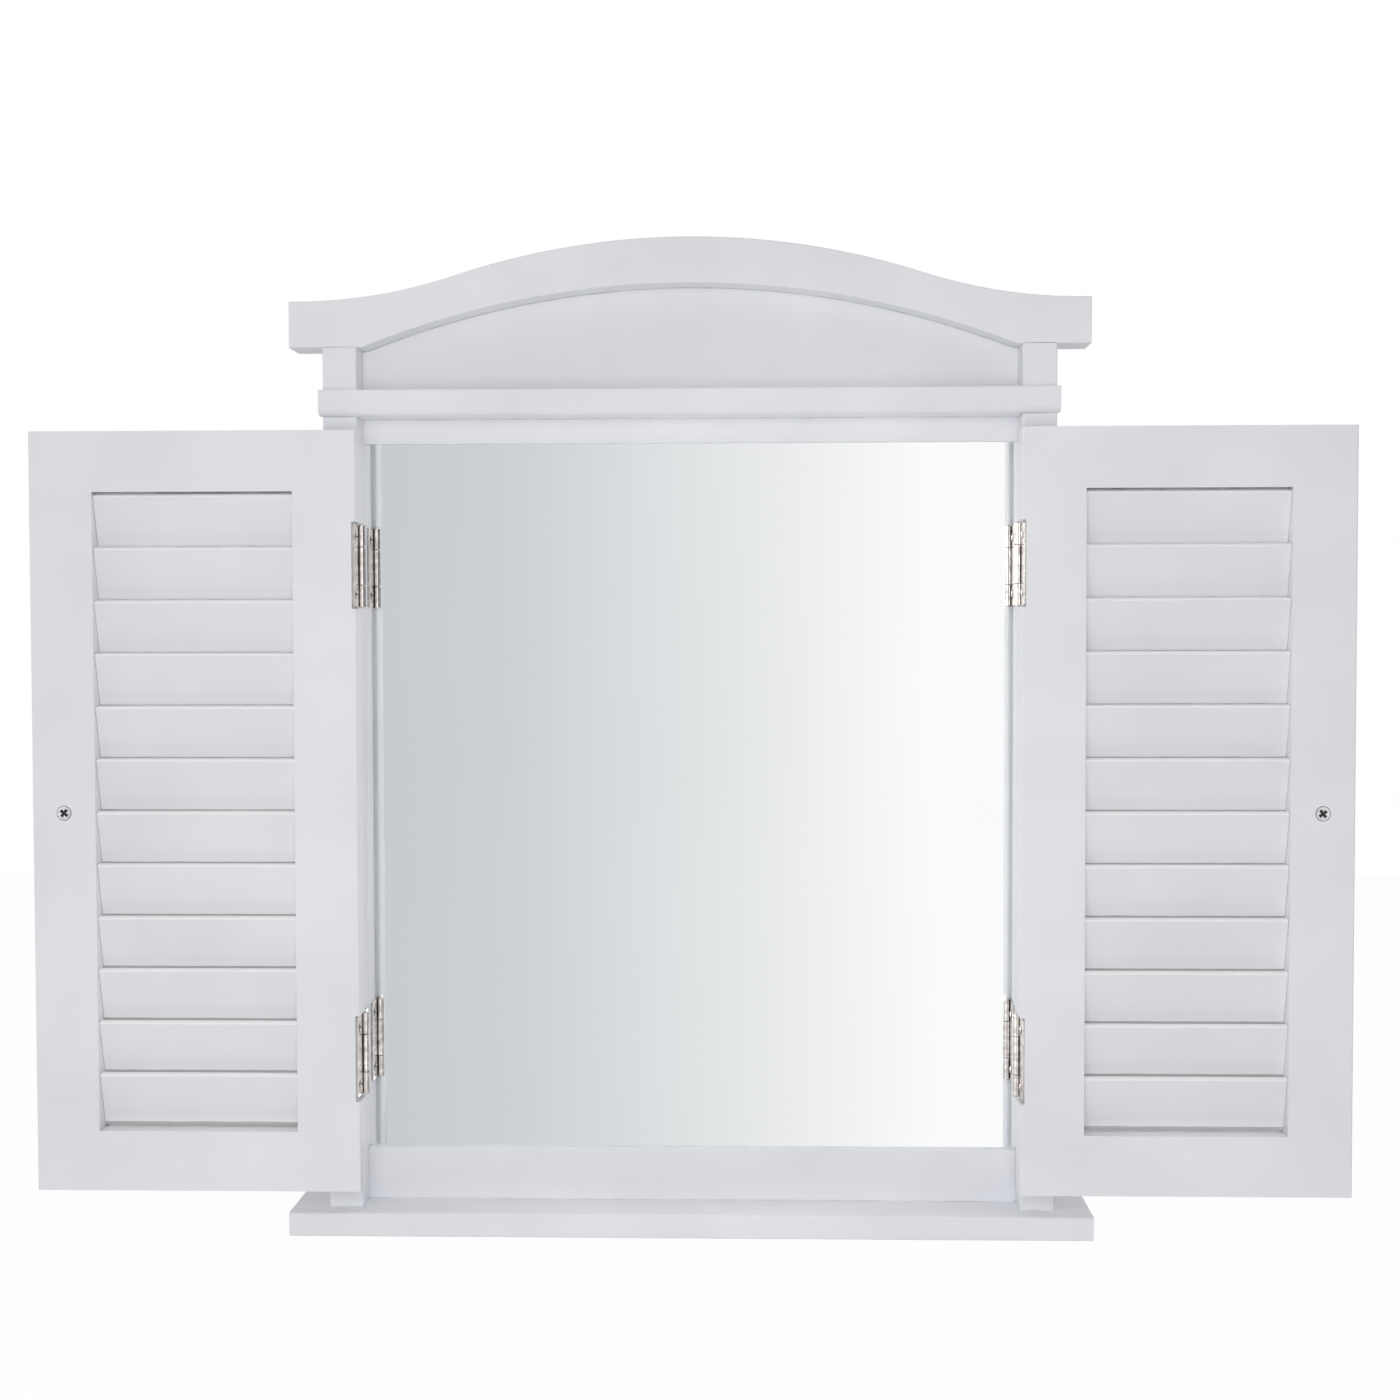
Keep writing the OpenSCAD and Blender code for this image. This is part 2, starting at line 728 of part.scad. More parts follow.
module hinge_stile() {
    color(paint) difference() {
        linear_extrude(door_h) eased_edge(stile_w, door_t, door_edge_r);
        stile_waste();
        for (z = hinge_zs) translate([0, 0, z - door_z]) {
            translate([-over, -over, -notch_l / 2])
                cube([notch_d + over, door_t + 2 * over, notch_l]);
            for (s = [-1, 1])
                translate([notch_d - leaf_t, door_back_y - axis_y + leaf_screw_in,
                           s * leaf_screw_gap / 2])
                    rotate([0, 90, 0])
                        cylinder(r = leaf_screw_r + seat_gap, h = leaf_screw_l + seat_gap);
        }
    }
}

module free_stile() {
    color(paint) difference() {
        translate([door_w, door_t, 0]) rotate([0, 0, 180])
            linear_extrude(door_h) eased_edge(stile_w, door_t, door_edge_r);
        stile_waste();
        at_knob() translate([0, door_t, 0]) rotate([-90, 0, 0])
            countersunk_hole(wood_screw_r, wood_head_r, door_t + over);
    }
}

module door_rail() {
    color(paint) {
        translate([stile_w, 0, 0]) cube([louvre_w, door_t, door_rail_h]);
        tenon(0);
    }
}

// The middle of the free stile, at half the shutter's height
module at_knob() {
    translate([door_w - stile_w / 2, 0, door_h / 2]) children();
}

// Outline of the turned knob: a crown arc meets the rim's arc at a slope of three to four
module knob_outline() {
    rim_r = 0.4 * knob_r;
    crown_arc_r = 1.4 * knob_r;
    crown_z = knob_l - crown_arc_r;
    rim_z = crown_z + 0.8 * knob_r;
    square([knob_collar_r, knob_collar_t]);
    square([knob_neck_r, rim_z]);
    translate([knob_r - rim_r, rim_z]) circle(rim_r);
    translate([0, rim_z - rim_r]) square([knob_r - rim_r, rim_r]);
    translate([0, crown_z]) intersection() {
        circle(crown_arc_r, $fn = 120);
        polygon([[0, 0], [0.75 * crown_arc_r, crown_arc_r], [0, crown_arc_r]]);
    }
}

// Turned knob on the show face, towards -y
module knob() {
    color(paint) at_knob() rotate([90, 0, 0]) difference() {
        rotate_extrude() knob_outline();
        translate([0, 0, -over])
            cylinder(r = wood_screw_r + seat_gap, h = knob_screw_in + over + seat_gap);
    }
}

module knob_screw() {
    color(zinc) at_knob() translate([0, door_t, 0]) rotate([-90, 0, 0])
        countersunk_screw(wood_screw_r, wood_head_r, door_t + knob_screw_in);
}

// One piece of a shutter, by name
module door_piece(piece) {
    if (piece == "hinge_stile") folded_open() hinge_stile();
    if (piece == "free_stile") folded_open() free_stile();
    if (piece == "door_top_rail")
        folded_open() translate([0, 0, door_h]) mirror([0, 0, 1]) door_rail();
    if (piece == "door_bottom_rail") folded_open() door_rail();
    if (piece == "knob") folded_open() knob();
    if (piece == "knob_screw") folded_open() knob_screw();
    if (piece == "door_leaves") color(nickel) at_left_hinges() door_leaf();
    if (piece == "hinge_pins") color(nickel) at_left_hinges() hinge_pin();
    if (piece == "door_leaf_screws") leaf_screws(-1);
}

module slat(i) {
    color(paint) folded_open() slat_body(i, 0);
}

// ---- Assembly ----

arched_hood();
post();  // left_post
on_side("right") post();  // right_post
pediment_panel();
cross_moulding();
top_rail();
bottom_rail();
sill();
mirror_glass();
backing_board();
glazing_points();
hood_dowels();
sill_screws();
hanger_plates();
hanger_screws();
for (side = SIDES) {
    on_side(side) color(nickel) at_left_hinges() frame_leaf();
    on_side(side) leaf_screws(1);  // frame_leaf_screws
    for (piece = DOOR_PIECES) {
        on_side(side) door_piece(piece);
    }
    for (i = [1:slat_count]) {
        on_side(side) slat(i);
    }
}
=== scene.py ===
# %% [markdown]
# # A shutter mirror: the looks
# The object is a small wall mirror made like a window: a white painted wooden frame with an
# arched hood, a moulding and a sill, and two louvred shutters on butt hinges. The construction
# comes ready as a fixed frame, in metres. Each step below dresses one kind of piece.

import json
import math

import bmesh
import bpy
from mathutils import Matrix, Vector


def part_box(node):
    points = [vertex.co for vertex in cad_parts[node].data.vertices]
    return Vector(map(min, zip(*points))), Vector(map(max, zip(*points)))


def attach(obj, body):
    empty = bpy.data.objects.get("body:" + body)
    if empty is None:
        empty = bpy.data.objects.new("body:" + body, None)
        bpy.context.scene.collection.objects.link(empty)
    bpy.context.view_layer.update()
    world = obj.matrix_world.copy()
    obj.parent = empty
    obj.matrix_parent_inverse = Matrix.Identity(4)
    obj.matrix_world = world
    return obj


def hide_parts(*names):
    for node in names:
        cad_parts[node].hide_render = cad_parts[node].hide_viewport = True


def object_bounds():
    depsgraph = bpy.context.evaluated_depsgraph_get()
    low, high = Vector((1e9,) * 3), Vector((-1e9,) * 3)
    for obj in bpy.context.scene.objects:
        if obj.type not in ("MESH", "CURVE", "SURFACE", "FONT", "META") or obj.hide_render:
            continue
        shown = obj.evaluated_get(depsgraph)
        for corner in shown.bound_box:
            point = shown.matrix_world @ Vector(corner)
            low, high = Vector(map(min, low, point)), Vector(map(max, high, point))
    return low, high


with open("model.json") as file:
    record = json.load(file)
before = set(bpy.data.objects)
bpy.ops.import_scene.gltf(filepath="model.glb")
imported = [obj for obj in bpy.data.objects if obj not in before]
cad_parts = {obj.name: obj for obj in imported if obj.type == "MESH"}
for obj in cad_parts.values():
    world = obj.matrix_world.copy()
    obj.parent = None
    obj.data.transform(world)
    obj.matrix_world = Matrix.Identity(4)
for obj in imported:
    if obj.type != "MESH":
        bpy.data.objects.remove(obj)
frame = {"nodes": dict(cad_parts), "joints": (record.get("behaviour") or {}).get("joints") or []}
cad_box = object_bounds()
print("construction", [tuple(round(v, 4) for v in corner) for corner in cad_box])

# %% [markdown]
# ## Working by hand, in code
# Blender's operators act on whatever is selected, as they do under a hand. So each step first
# lets go of everything, then picks faces or edges by where they are. All sizes here are written
# in millimetres and turned to metres by one factor.

# %% Selecting and copying
MM = 0.001
SHARP = math.radians(35)  # an edge that turns more than this is seen as an edge


def let_go():
    """Object mode, with nothing selected."""
    if bpy.context.mode != "OBJECT":
        bpy.ops.object.mode_set(mode="OBJECT")
    bpy.ops.object.select_all(action="DESELECT")


def take(*pieces):
    """Selects these objects alone; the first one is active."""
    let_go()
    for piece in pieces:
        piece.select_set(True)
    bpy.context.view_layer.objects.active = pieces[0]


def edit(piece, kind="FACE"):
    """Edit mode on one piece, with nothing picked."""
    take(piece)
    bpy.ops.object.mode_set(mode="EDIT")
    bpy.ops.mesh.select_mode(type=kind)
    bpy.ops.mesh.select_all(action="DESELECT")


def pick_faces(piece, test):
    """Picks the faces whose middle and normal pass the test."""
    bpy.ops.mesh.select_all(action="DESELECT")
    mesh = bmesh.from_edit_mesh(piece.data)
    for face in mesh.faces:
        if test(face.calc_center_median(), face.normal):
            face.select_set(True)
    bmesh.update_edit_mesh(piece.data)


def pick_edges(piece, test):
    """Picks the sharp edges whose two ends pass the test, and gives their number."""
    bpy.ops.mesh.select_all(action="DESELECT")
    mesh = bmesh.from_edit_mesh(piece.data)
    picked = [e for e in mesh.edges
              if e.calc_face_angle(0) > SHARP and test(e.verts[0].co, e.verts[1].co)]
    for edge in picked:
        edge.select_set(True)
    bmesh.update_edit_mesh(piece.data)
    return len(picked)


def copy_at(source, name, place=Matrix.Identity(4)):
    """A copy with its own mesh, moved by place. A mirrored one gets its faces turned out."""
    piece = bpy.data.objects.new(name, source.data.copy())
    bpy.context.scene.collection.objects.link(piece)
    piece.data.transform(place)
    if place.determinant() < 0:
        piece.data.flip_normals()
    return piece


def as_one(parts, name):
    """Joins several meshes into one piece."""
    take(*parts)
    bpy.ops.object.join()
    parts[0].name = name
    return parts[0]


print("parts of the construction to dress:", len(frame["nodes"]))

# %% [markdown]
# ## Blocks and turned shapes
# Most wooden and metal parts start as a block. Knobs, pins and screws are turned, so they start
# as one point that is drawn along the outline and then spun round its axis.

# %% Two ways to start
TURNING_STEPS = 48


def block(name, low, high):
    """A block between two corners, in millimetres."""
    let_go()
    size = [(b - a) * MM for a, b in zip(low, high)]
    middle = [(a + b) / 2 * MM for a, b in zip(low, high)]
    bpy.ops.mesh.primitive_cube_add(size=1, location=middle, scale=size)
    bpy.ops.object.transform_apply(location=True, rotation=True, scale=True)
    piece = bpy.context.object
    piece.name = name
    return piece


def drawn_point(name, point):
    """A mesh of one point, from which an outline is drawn."""
    let_go()
    bpy.ops.mesh.primitive_plane_add(size=MM, location=(0, 0, 0))
    piece = bpy.context.object
    piece.name = name
    edit(piece, "VERT")
    bpy.ops.mesh.select_all(action="SELECT")
    bpy.ops.mesh.merge(type="CENTER")
    bpy.ops.transform.translate(value=Vector(point) * MM)
    return piece


def draw_by(step):
    """Extrudes the picked points by a step in millimetres."""
    bpy.ops.mesh.extrude_region_move(TRANSFORM_OT_translate={"value": Vector(step) * MM})


def clean_shell():
    """Merges what lies double and turns all faces outwards."""
    bpy.ops.mesh.select_all(action="SELECT")
    bpy.ops.mesh.remove_doubles(threshold=0.002 * MM)
    bpy.ops.mesh.normals_make_consistent(inside=False)


def turned(name, outline, steps=TURNING_STEPS):
    """A shape turned round the upright axis. outline is a list of (radius, height)."""
    start = (outline[0][0], 0, outline[0][1])
    piece = drawn_point(name, start)
    for (r0, z0), (r1, z1) in zip(outline, outline[1:]):
        draw_by((r1 - r0, 0, z1 - z0))
    bpy.ops.mesh.select_all(action="SELECT")
    bpy.ops.mesh.spin(steps=steps, angle=math.tau, center=(0, 0, 0), axis=(0, 0, 1))
    clean_shell()
    let_go()
    return piece


def arc(middle, radius, start, end, steps):
    """Points on an arc in (radius, height), with angles in degrees from the radius' direction."""
    angles = [math.radians(start + (end - start) * i / steps) for i in range(steps + 1)]
    return [(middle[0] + radius * math.cos(a), middle[1] + radius * math.sin(a))
            for a in angles]


def dome(radius, rise, base, steps):
    """The outline of a shallow dome, from its rim at the height base up to its crown."""
    ball = (radius ** 2 + rise ** 2) / (2 * rise)
    rim = math.degrees(math.asin((ball - rise) / ball))
    return arc((0, base + rise - ball), ball, rim, 90, steps)


def ease(piece, width, segments=2):
    """Rounds every sharp edge a little, as sanding and paint do."""
    take(piece)
    bevel = piece.modifiers.new("eased edges", "BEVEL")
    bevel.width = width * MM
    bevel.segments = segments
    bevel.limit_method = "ANGLE"
    bevel.angle_limit = SHARP
    bpy.ops.object.modifier_apply(modifier=bevel.name)


def smooth(piece, flat_faces=True):
    """Shades round edges smoothly. The flat faces beside them can be kept flat."""
    take(piece)
    bpy.ops.object.shade_smooth_by_angle(angle=SHARP)
    if flat_faces:
        keep = piece.modifiers.new("flat faces stay flat", "WEIGHTED_NORMAL")
        keep.keep_sharp, keep.weight = True, 100
        bpy.ops.object.modifier_apply(modifier=keep.name)


quarter = arc((0, 0), 1, 0, 90, 2)
print("a quarter round in two steps:", [(round(r, 2), round(z, 2)) for r, z in quarter])

# %% [markdown]
# ## The camera
# The photograph was taken from a little right of the middle, about 1.1 m away. A pinhole camera
# fitted to the measured edges gives the place and the directions.

# %% Camera
FOCAL_PX, IMAGE_PX, SENSOR = 2060, 1400, 36.0
EYE = Vector((38.8, -1120.1, -107.7)) * MM
YAW, PITCH, ROLL = (math.radians(a) for a in (-1.74, -2.11, -0.13))
forward = Vector((math.sin(YAW) * math.cos(PITCH), math.cos(YAW) * math.cos(PITCH),
                  math.sin(PITCH)))
level_right = Vector((math.cos(YAW), -math.sin(YAW), 0))
level_up = level_right.cross(forward)
right = level_right * math.cos(ROLL) + level_up * math.sin(ROLL)
up = level_up * math.cos(ROLL) - level_right * math.sin(ROLL)
camera_data = bpy.data.cameras.new("photo_camera")
camera_data.sensor_width = SENSOR
camera_data.lens = FOCAL_PX * SENSOR / IMAGE_PX
camera = bpy.data.objects.new("photo_camera", camera_data)
bpy.context.scene.collection.objects.link(camera)
camera.matrix_world = Matrix((
    (right.x, up.x, -forward.x, EYE.x),
    (right.y, up.y, -forward.y, EYE.y),
    (right.z, up.z, -forward.z, EYE.z),
    (0, 0, 0, 1)))
bpy.context.scene.camera = camera
bpy.context.scene.view_settings.view_transform = "Standard"
print("lens", round(camera_data.lens, 2), "mm")

# %% [markdown]
# ## Colours and nodes
# Colours are written as they look on a screen, and one function turns them to the linear values
# that light is reckoned in. One more function adds any node with its settings and links.

# %% Colour and node helpers
def linear(code):
    """The linear colour of a code such as #e6e7ea."""
    shares = [int(code[i:i + 2], 16) / 255 for i in (1, 3, 5)]
    return tuple(s / 12.92 if s <= 0.04045 else ((s + 0.055) / 1.055) ** 2.4
                 for s in shares) + (1.0,)


def add_node(tree, kind, inputs=None, **settings):
    """Adds a node. A socket as an input's value is linked, anything else is set."""
    node = tree.nodes.new(kind)
    for name, value in settings.items():
        setattr(node, name, value)
    for name, value in (inputs or {}).items():
        if isinstance(value, bpy.types.NodeSocket):
            tree.links.new(value, node.inputs[name])
        else:
            node.inputs[name].default_value = value
    return node


def ramp(tree, value, *stops):
    """A colour ramp on value. Each stop is (place, colour code)."""
    node = add_node(tree, "ShaderNodeValToRGB", {"Fac": value})
    elements = node.color_ramp.elements
    elements[0].position, elements[0].color = stops[0][0], linear(stops[0][1])
    elements[1].position, elements[1].color = stops[-1][0], linear(stops[-1][1])
    for place, code in stops[1:-1]:
        elements.new(place).color = linear(code)
    return node.outputs["Color"]


def levels(tree, value, low_in, high_in, low_out, high_out):
    """Maps a value's range to another, and keeps to its ends."""
    node = add_node(tree, "ShaderNodeMapRange", {
        "Value": value, "From Min": low_in, "From Max": high_in,
        "To Min": low_out, "To Max": high_out})
    return node.outputs["Result"]


def blank_material(name):
    """A material without nodes, and its node tree."""
    material = bpy.data.materials.new(name)
    material.use_nodes = True
    material.node_tree.nodes.clear()
    return material, material.node_tree


def finish_material(tree, **sockets):
    """Ends a material in one Principled shader. Socket names have _ for a space."""
    inputs = {name.replace("_", " "): value for name, value in sockets.items()}
    shader = add_node(tree, "ShaderNodeBsdfPrincipled", inputs)
    add_node(tree, "ShaderNodeOutputMaterial", {"Surface": shader.outputs["BSDF"]})


def clouded(name, cloud_mm, dark, light, **sockets):
    """A material whose colour drifts between two near tones at the size of cloud_mm."""
    material, tree = blank_material(name)
    place = add_node(tree, "ShaderNodeTexCoord").outputs["Object"]
    cloud = add_node(tree, "ShaderNodeTexNoise", {"Vector": place, "Scale": 1 / (cloud_mm * MM)})
    finish_material(tree, Base_Color=ramp(tree, cloud.outputs[0], (0.3, dark), (0.7, light)),
                    **sockets)
    return material


print("white paint is", [round(v, 3) for v in linear("#e8e9ec")])

# %% [markdown]
# ## A plain studio
# The camera sees a white world. A soft light falls on everything, mostly from along the wall:
# from above, below and the sides. Seen in the mirror the room is a plain wall that turns from a
# cool grey on the left to white on the right, as daylight from one side does. Further round
# than the mirror shows, polished metal finds brighter walls and a dark one. The front lamp
# stands where the mirror looks, so it is hidden there, but the light that it would send to the
# paint by way of the mirror is kept. The object hangs on a wall, so the pale floor lies some
# way below it. The floor glows a little to the eye, so it looks almost as white as the wall.

# %% World, floor and lamps
FROM_BELOW, FROM_ABOVE, ALONG_WALL = 0.03, 0.18, 0.72  # the soft light's level
SEEN_MIDDLE, SEEN_HALF, SEEN_EDGE = -0.04, 0.2, 0.06  # the directions that the mirror shows
WINDOW_GLARE = 1.7  # how bright the walls beyond those are
LAMP_LEVEL = 2.8  # the front lamp's, as the paint meets it in the mirror
LAMP_RIM, LAMP_INSIDE = 0.93, 0.97  # how straight ahead its edge and its full light are
world = bpy.data.worlds.new("studio")
bpy.context.scene.world = world
world.use_nodes = True
tree = world.node_tree
tree.nodes.clear()
path = add_node(tree, "ShaderNodeLightPath")
direction = add_node(tree, "ShaderNodeSeparateXYZ", {
    "Vector": add_node(tree, "ShaderNodeTexCoord").outputs["Generated"]})
wall_tone = ramp(tree, levels(tree, direction.outputs["X"], -1, 1, 0, 1),
                 (0.0, "#ffffff"), (0.35, "#ffffff"), (0.38, "#c8c9cd"), (0.44, "#d1d4d7"),
                 (0.5, "#ecedee"), (0.54, "#ffffff"), (0.74, "#ffffff"), (0.82, "#55575a"))
off_middle = add_node(tree, "ShaderNodeMath", {0: direction.outputs["X"], 1: -SEEN_MIDDLE},
                      operation="ADD")
aside = add_node(tree, "ShaderNodeMath", {0: off_middle.outputs[0]}, operation="ABSOLUTE")
wall_level = levels(tree, aside.outputs[0], SEEN_HALF, SEEN_HALF + SEEN_EDGE,
                    1.0, WINDOW_GLARE)
facing = add_node(tree, "ShaderNodeMath", {0: direction.outputs["Y"]}, operation="ABSOLUTE")
soft_level = add_node(tree, "ShaderNodeMath", {
    0: levels(tree, direction.outputs["Z"], -0.7, 0.4, FROM_BELOW, FROM_ABOVE),
    1: levels(tree, facing.outputs[0], 0.9, 0.1, 0.0, ALONG_WALL)}, operation="ADD")
soft_light = add_node(tree, "ShaderNodeBackground", {
    "Color": linear("#fbfbfc"), "Strength": soft_level.outputs[0]})
for_paint = add_node(tree, "ShaderNodeMath", {0: path.outputs["Diffuse Depth"], 1: 1.0},
                     operation="MINIMUM")
lamp_by_mirror = add_node(tree, "ShaderNodeMath", {
    0: for_paint.outputs[0],
    1: levels(tree, facing.outputs[0], LAMP_RIM, LAMP_INSIDE, 0.0, LAMP_LEVEL)},
    operation="MULTIPLY")
room_level = add_node(tree, "ShaderNodeMath", {0: wall_level, 1: lamp_by_mirror.outputs[0]},
                      operation="ADD")
room = add_node(tree, "ShaderNodeBackground", {
    "Color": wall_tone, "Strength": room_level.outputs[0]})
white = add_node(tree, "ShaderNodeBackground", {"Color": (1, 1, 1, 1), "Strength": 1.0})
by_mirror = add_node(tree, "ShaderNodeMath", {
    0: path.outputs["Is Glossy Ray"], 1: path.outputs["Is Transmission Ray"]},
    operation="MAXIMUM")
around = add_node(tree, "ShaderNodeMixShader", {
    "Fac": by_mirror.outputs[0], 1: soft_light.outputs[0], 2: room.outputs[0]})
seen = add_node(tree, "ShaderNodeMixShader", {
    "Fac": path.outputs["Is Camera Ray"], 1: around.outputs[0], 2: white.outputs[0]})
add_node(tree, "ShaderNodeOutputWorld", {"Surface": seen.outputs[0]})

FLOOR_DROP, FLOOR_SIZE, FLOOR_FRONT = 0.62, 9.0, -2.4  # metres
GLOW, GLOW_SHARE = 1.39, 0.5  # how bright the glow is, and its share beside the matt white
SHARE_IN_MIRROR = 0.5  # how much of it the mirror shows
let_go()
bpy.ops.mesh.primitive_grid_add(
    x_subdivisions=8, y_subdivisions=8, size=FLOOR_SIZE,
    location=(0, FLOOR_FRONT + FLOOR_SIZE / 2, cad_box[0].z - FLOOR_DROP))
floor = bpy.context.object
floor.name = "floor"
material, tree = blank_material("matt_white_floor")
path = add_node(tree, "ShaderNodeLightPath")
grain = add_node(tree, "ShaderNodeTexNoise", {  # spots of about 11 mm
    "Vector": add_node(tree, "ShaderNodeTexCoord").outputs["Object"], "Scale": 90.0})
# Gives an even white that takes a faint shadow.
matt = add_node(tree, "ShaderNodeBsdfDiffuse", {
    "Color": ramp(tree, grain.outputs[0], (0.3, "#fbfbfb"), (0.7, "#ffffff"))})
glow = add_node(tree, "ShaderNodeEmission", {"Color": (1, 1, 1, 1), "Strength": GLOW})
in_mirror = add_node(tree, "ShaderNodeMath", {
    0: path.outputs["Is Singular Ray"], 1: SHARE_IN_MIRROR}, operation="MULTIPLY")
looked_at = add_node(tree, "ShaderNodeMath", {
    0: path.outputs["Is Camera Ray"], 1: in_mirror.outputs[0]}, operation="MAXIMUM")
share = add_node(tree, "ShaderNodeMath", {0: looked_at.outputs[0], 1: GLOW_SHARE},
                 operation="MULTIPLY")
seen = add_node(tree, "ShaderNodeMixShader", {
    "Fac": share.outputs[0], 1: matt.outputs[0], 2: glow.outputs[0]})
add_node(tree, "ShaderNodeOutputMaterial", {"Surface": seen.outputs[0]})
floor.data.materials.append(material)

CENTRE = (cad_box[0] + cad_box[1]) / 2


def lamp(name, place, size, watts, colour):
    """A square soft lamp that looks at the object's middle."""
    data = bpy.data.lights.new(name, "AREA")
    data.size, data.energy, data.color = size, watts, linear(colour)[:3]
    light = bpy.data.objects.new(name, data)
    bpy.context.scene.collection.objects.link(light)
    light.location = place
    light.visible_transmission = False  # no glass edge shows the lamp
    light.rotation_euler = (CENTRE - Vector(place)).to_track_quat("-Z", "Y").to_euler()
    return light


lamp("window_light", (-1.7, -2.5, 0.45), 1.0, 4.2, "#fffefb")
front = lamp("front_light", (-0.02, -1.15, -0.12), 0.7, 5.4, "#fdfdfe")
front.visible_glossy = False  # it stands where the mirror looks
print("studio", len(bpy.data.lights), "lamps, floor at", round(floor.location.z, 3))

# %% [markdown]
# ## Satin white paint
# Water-based furniture paint, brushed on sanded wood in two thin coats. It hides the grain but
# keeps the faint marks of the bristles, which run along each board, and a few specks and dents.
# A noise that is drawn out along the board gives the marks, at 0.9 mm apart. In the joints the
# coat has cracked a little and dust has settled, and every inner corner is darkened with the same
# colour as painted shade. The material finds these as the places that other surfaces close in on
# within 1.4 mm, and a noise breaks the line up.

# %% Paint
BRISTLE, STROKE = 0.9 * MM, 55 * MM  # apart, and how long a mark runs
CLOUD, DENT, SPECK_APART, SPECK = 70 * MM, 9 * MM, 34 * MM, 0.32 * MM
MARK_DEEP, DENT_DEEP = 0.04 * MM, 0.10 * MM
GLOSSY, DULL, PAINT_IOR = 0.40, 0.50, 1.48  # the roughness between and in the marks
DUST_AND_SHADE_REACH, DUST_AND_SHADE_BREAK = 1.4 * MM, 16 * MM
FAINT_DUST_AND_SHADE, FULL_DUST_AND_SHADE, FULL_SPECK = 0.15, 0.75, 0.55  # how strongly joint dust with painted shade, and specks, show
OPEN, CLOSED = 0.72, 0.35  # the share of its surroundings that an open or a closed place sees


def closed_in(tree, reach):
    """0 on open faces and 1 where other surfaces close in within reach."""
    near = add_node(tree, "ShaderNodeAmbientOcclusion", {"Distance": reach}, samples=4)
    return levels(tree, near.outputs["AO"], OPEN, CLOSED, 0, 1)


def joint_dust_and_painted_shade(tree, place):
    """How strongly joint dust and painted shade show: 0 on open faces, most in the deepest
    corners.
    """
    breaks = add_node(tree, "ShaderNodeTexNoise", {
        "Vector": place, "Scale": 1 / DUST_AND_SHADE_BREAK, "Detail": 3.0, "Roughness": 0.6})
    deep = closed_in(tree, DUST_AND_SHADE_REACH)
    shown = levels(tree, breaks.outputs[0], 0.42, 0.62, FAINT_DUST_AND_SHADE, FULL_DUST_AND_SHADE)
    return add_node(tree, "ShaderNodeMath", {0: deep, 1: shown}, operation="MULTIPLY").outputs[0]


def satin_paint(name, along, touch=None):
    """White satin paint: an even white with a soft sheen. touch may recolour some places."""
    material, tree = blank_material(name)
    place = add_node(tree, "ShaderNodeTexCoord").outputs["Object"]
    scale = [1 / (STROKE if axis == along else BRISTLE) for axis in "XYZ"]
    drawn = add_node(tree, "ShaderNodeMapping", {"Vector": place, "Scale": scale})
    marks = add_node(tree, "ShaderNodeTexNoise", {
        "Vector": drawn.outputs[0], "Scale": 1.0, "Detail": 3.0, "Roughness": 0.6})
    cloud = add_node(tree, "ShaderNodeTexNoise", {
        "Vector": place, "Scale": 1 / CLOUD, "Detail": 2.0})
    dents = add_node(tree, "ShaderNodeTexNoise", {
        "Vector": place, "Scale": 1 / DENT, "Detail": 1.0})
    specks = add_node(tree, "ShaderNodeTexVoronoi", {
        "Vector": place, "Scale": 1 / SPECK_APART, "Randomness": 1.0})
    coat = ramp(tree, cloud.outputs[0], (0.3, "#e8e9ed"), (0.7, "#eff0f3"))
    speck_here = levels(tree, specks.outputs["Distance"], 0.6 * SPECK / SPECK_APART,
                        1.4 * SPECK / SPECK_APART, FULL_SPECK, 0)
    colour = add_node(tree, "ShaderNodeMixRGB", {
        "Fac": speck_here, "Color1": coat, "Color2": linear("#a9a49c")})
    # Dust in the joints, and painted shade in every inner corner, as one darker grey.
    colour = add_node(tree, "ShaderNodeMixRGB", {
        "Fac": joint_dust_and_painted_shade(tree, place), "Color1": colour.outputs[0],
        "Color2": linear("#7d7c7e")})
    if touch:
        colour = touch(tree, place, colour)
    sheen = levels(tree, marks.outputs[0], 0.3, 0.7, GLOSSY, DULL)
    pressed = add_node(tree, "ShaderNodeBump", {
        "Height": dents.outputs[0], "Strength": 0.25, "Distance": DENT_DEEP})
    brushed = add_node(tree, "ShaderNodeBump", {
        "Height": marks.outputs[0], "Strength": 0.35, "Distance": MARK_DEEP,
        "Normal": pressed.outputs[0]})
    finish_material(tree, Base_Color=colour.outputs[0], Roughness=sheen, IOR=PAINT_IOR,
                    Normal=brushed.outputs[0])
    return material


paint_across = satin_paint("satin_white_paint_brushed_across", "X")
paint_upright = satin_paint("satin_white_paint_brushed_upright", "Z")
print("paint:", paint_across.name, paint_upright.name)

# %% [markdown]
# ## Metals
# The hinges are stamped steel with a thin nickel plate that has dulled to a warm grey-brown.
# The wood screws are bright zinc. Both are metals: their colour tints the reflection, and a
# cloudy roughness makes the plate look handled. The screws' crosses, the rims round their heads
# and the gaps between the knuckles are dark and dull: some dirt, and painted shade.

# %% Plated steel
DIRT_AND_SHADE_REACH, GRAIN, GRAIN_DEEP = 0.8 * MM, 0.5 * MM, 0.03 * MM


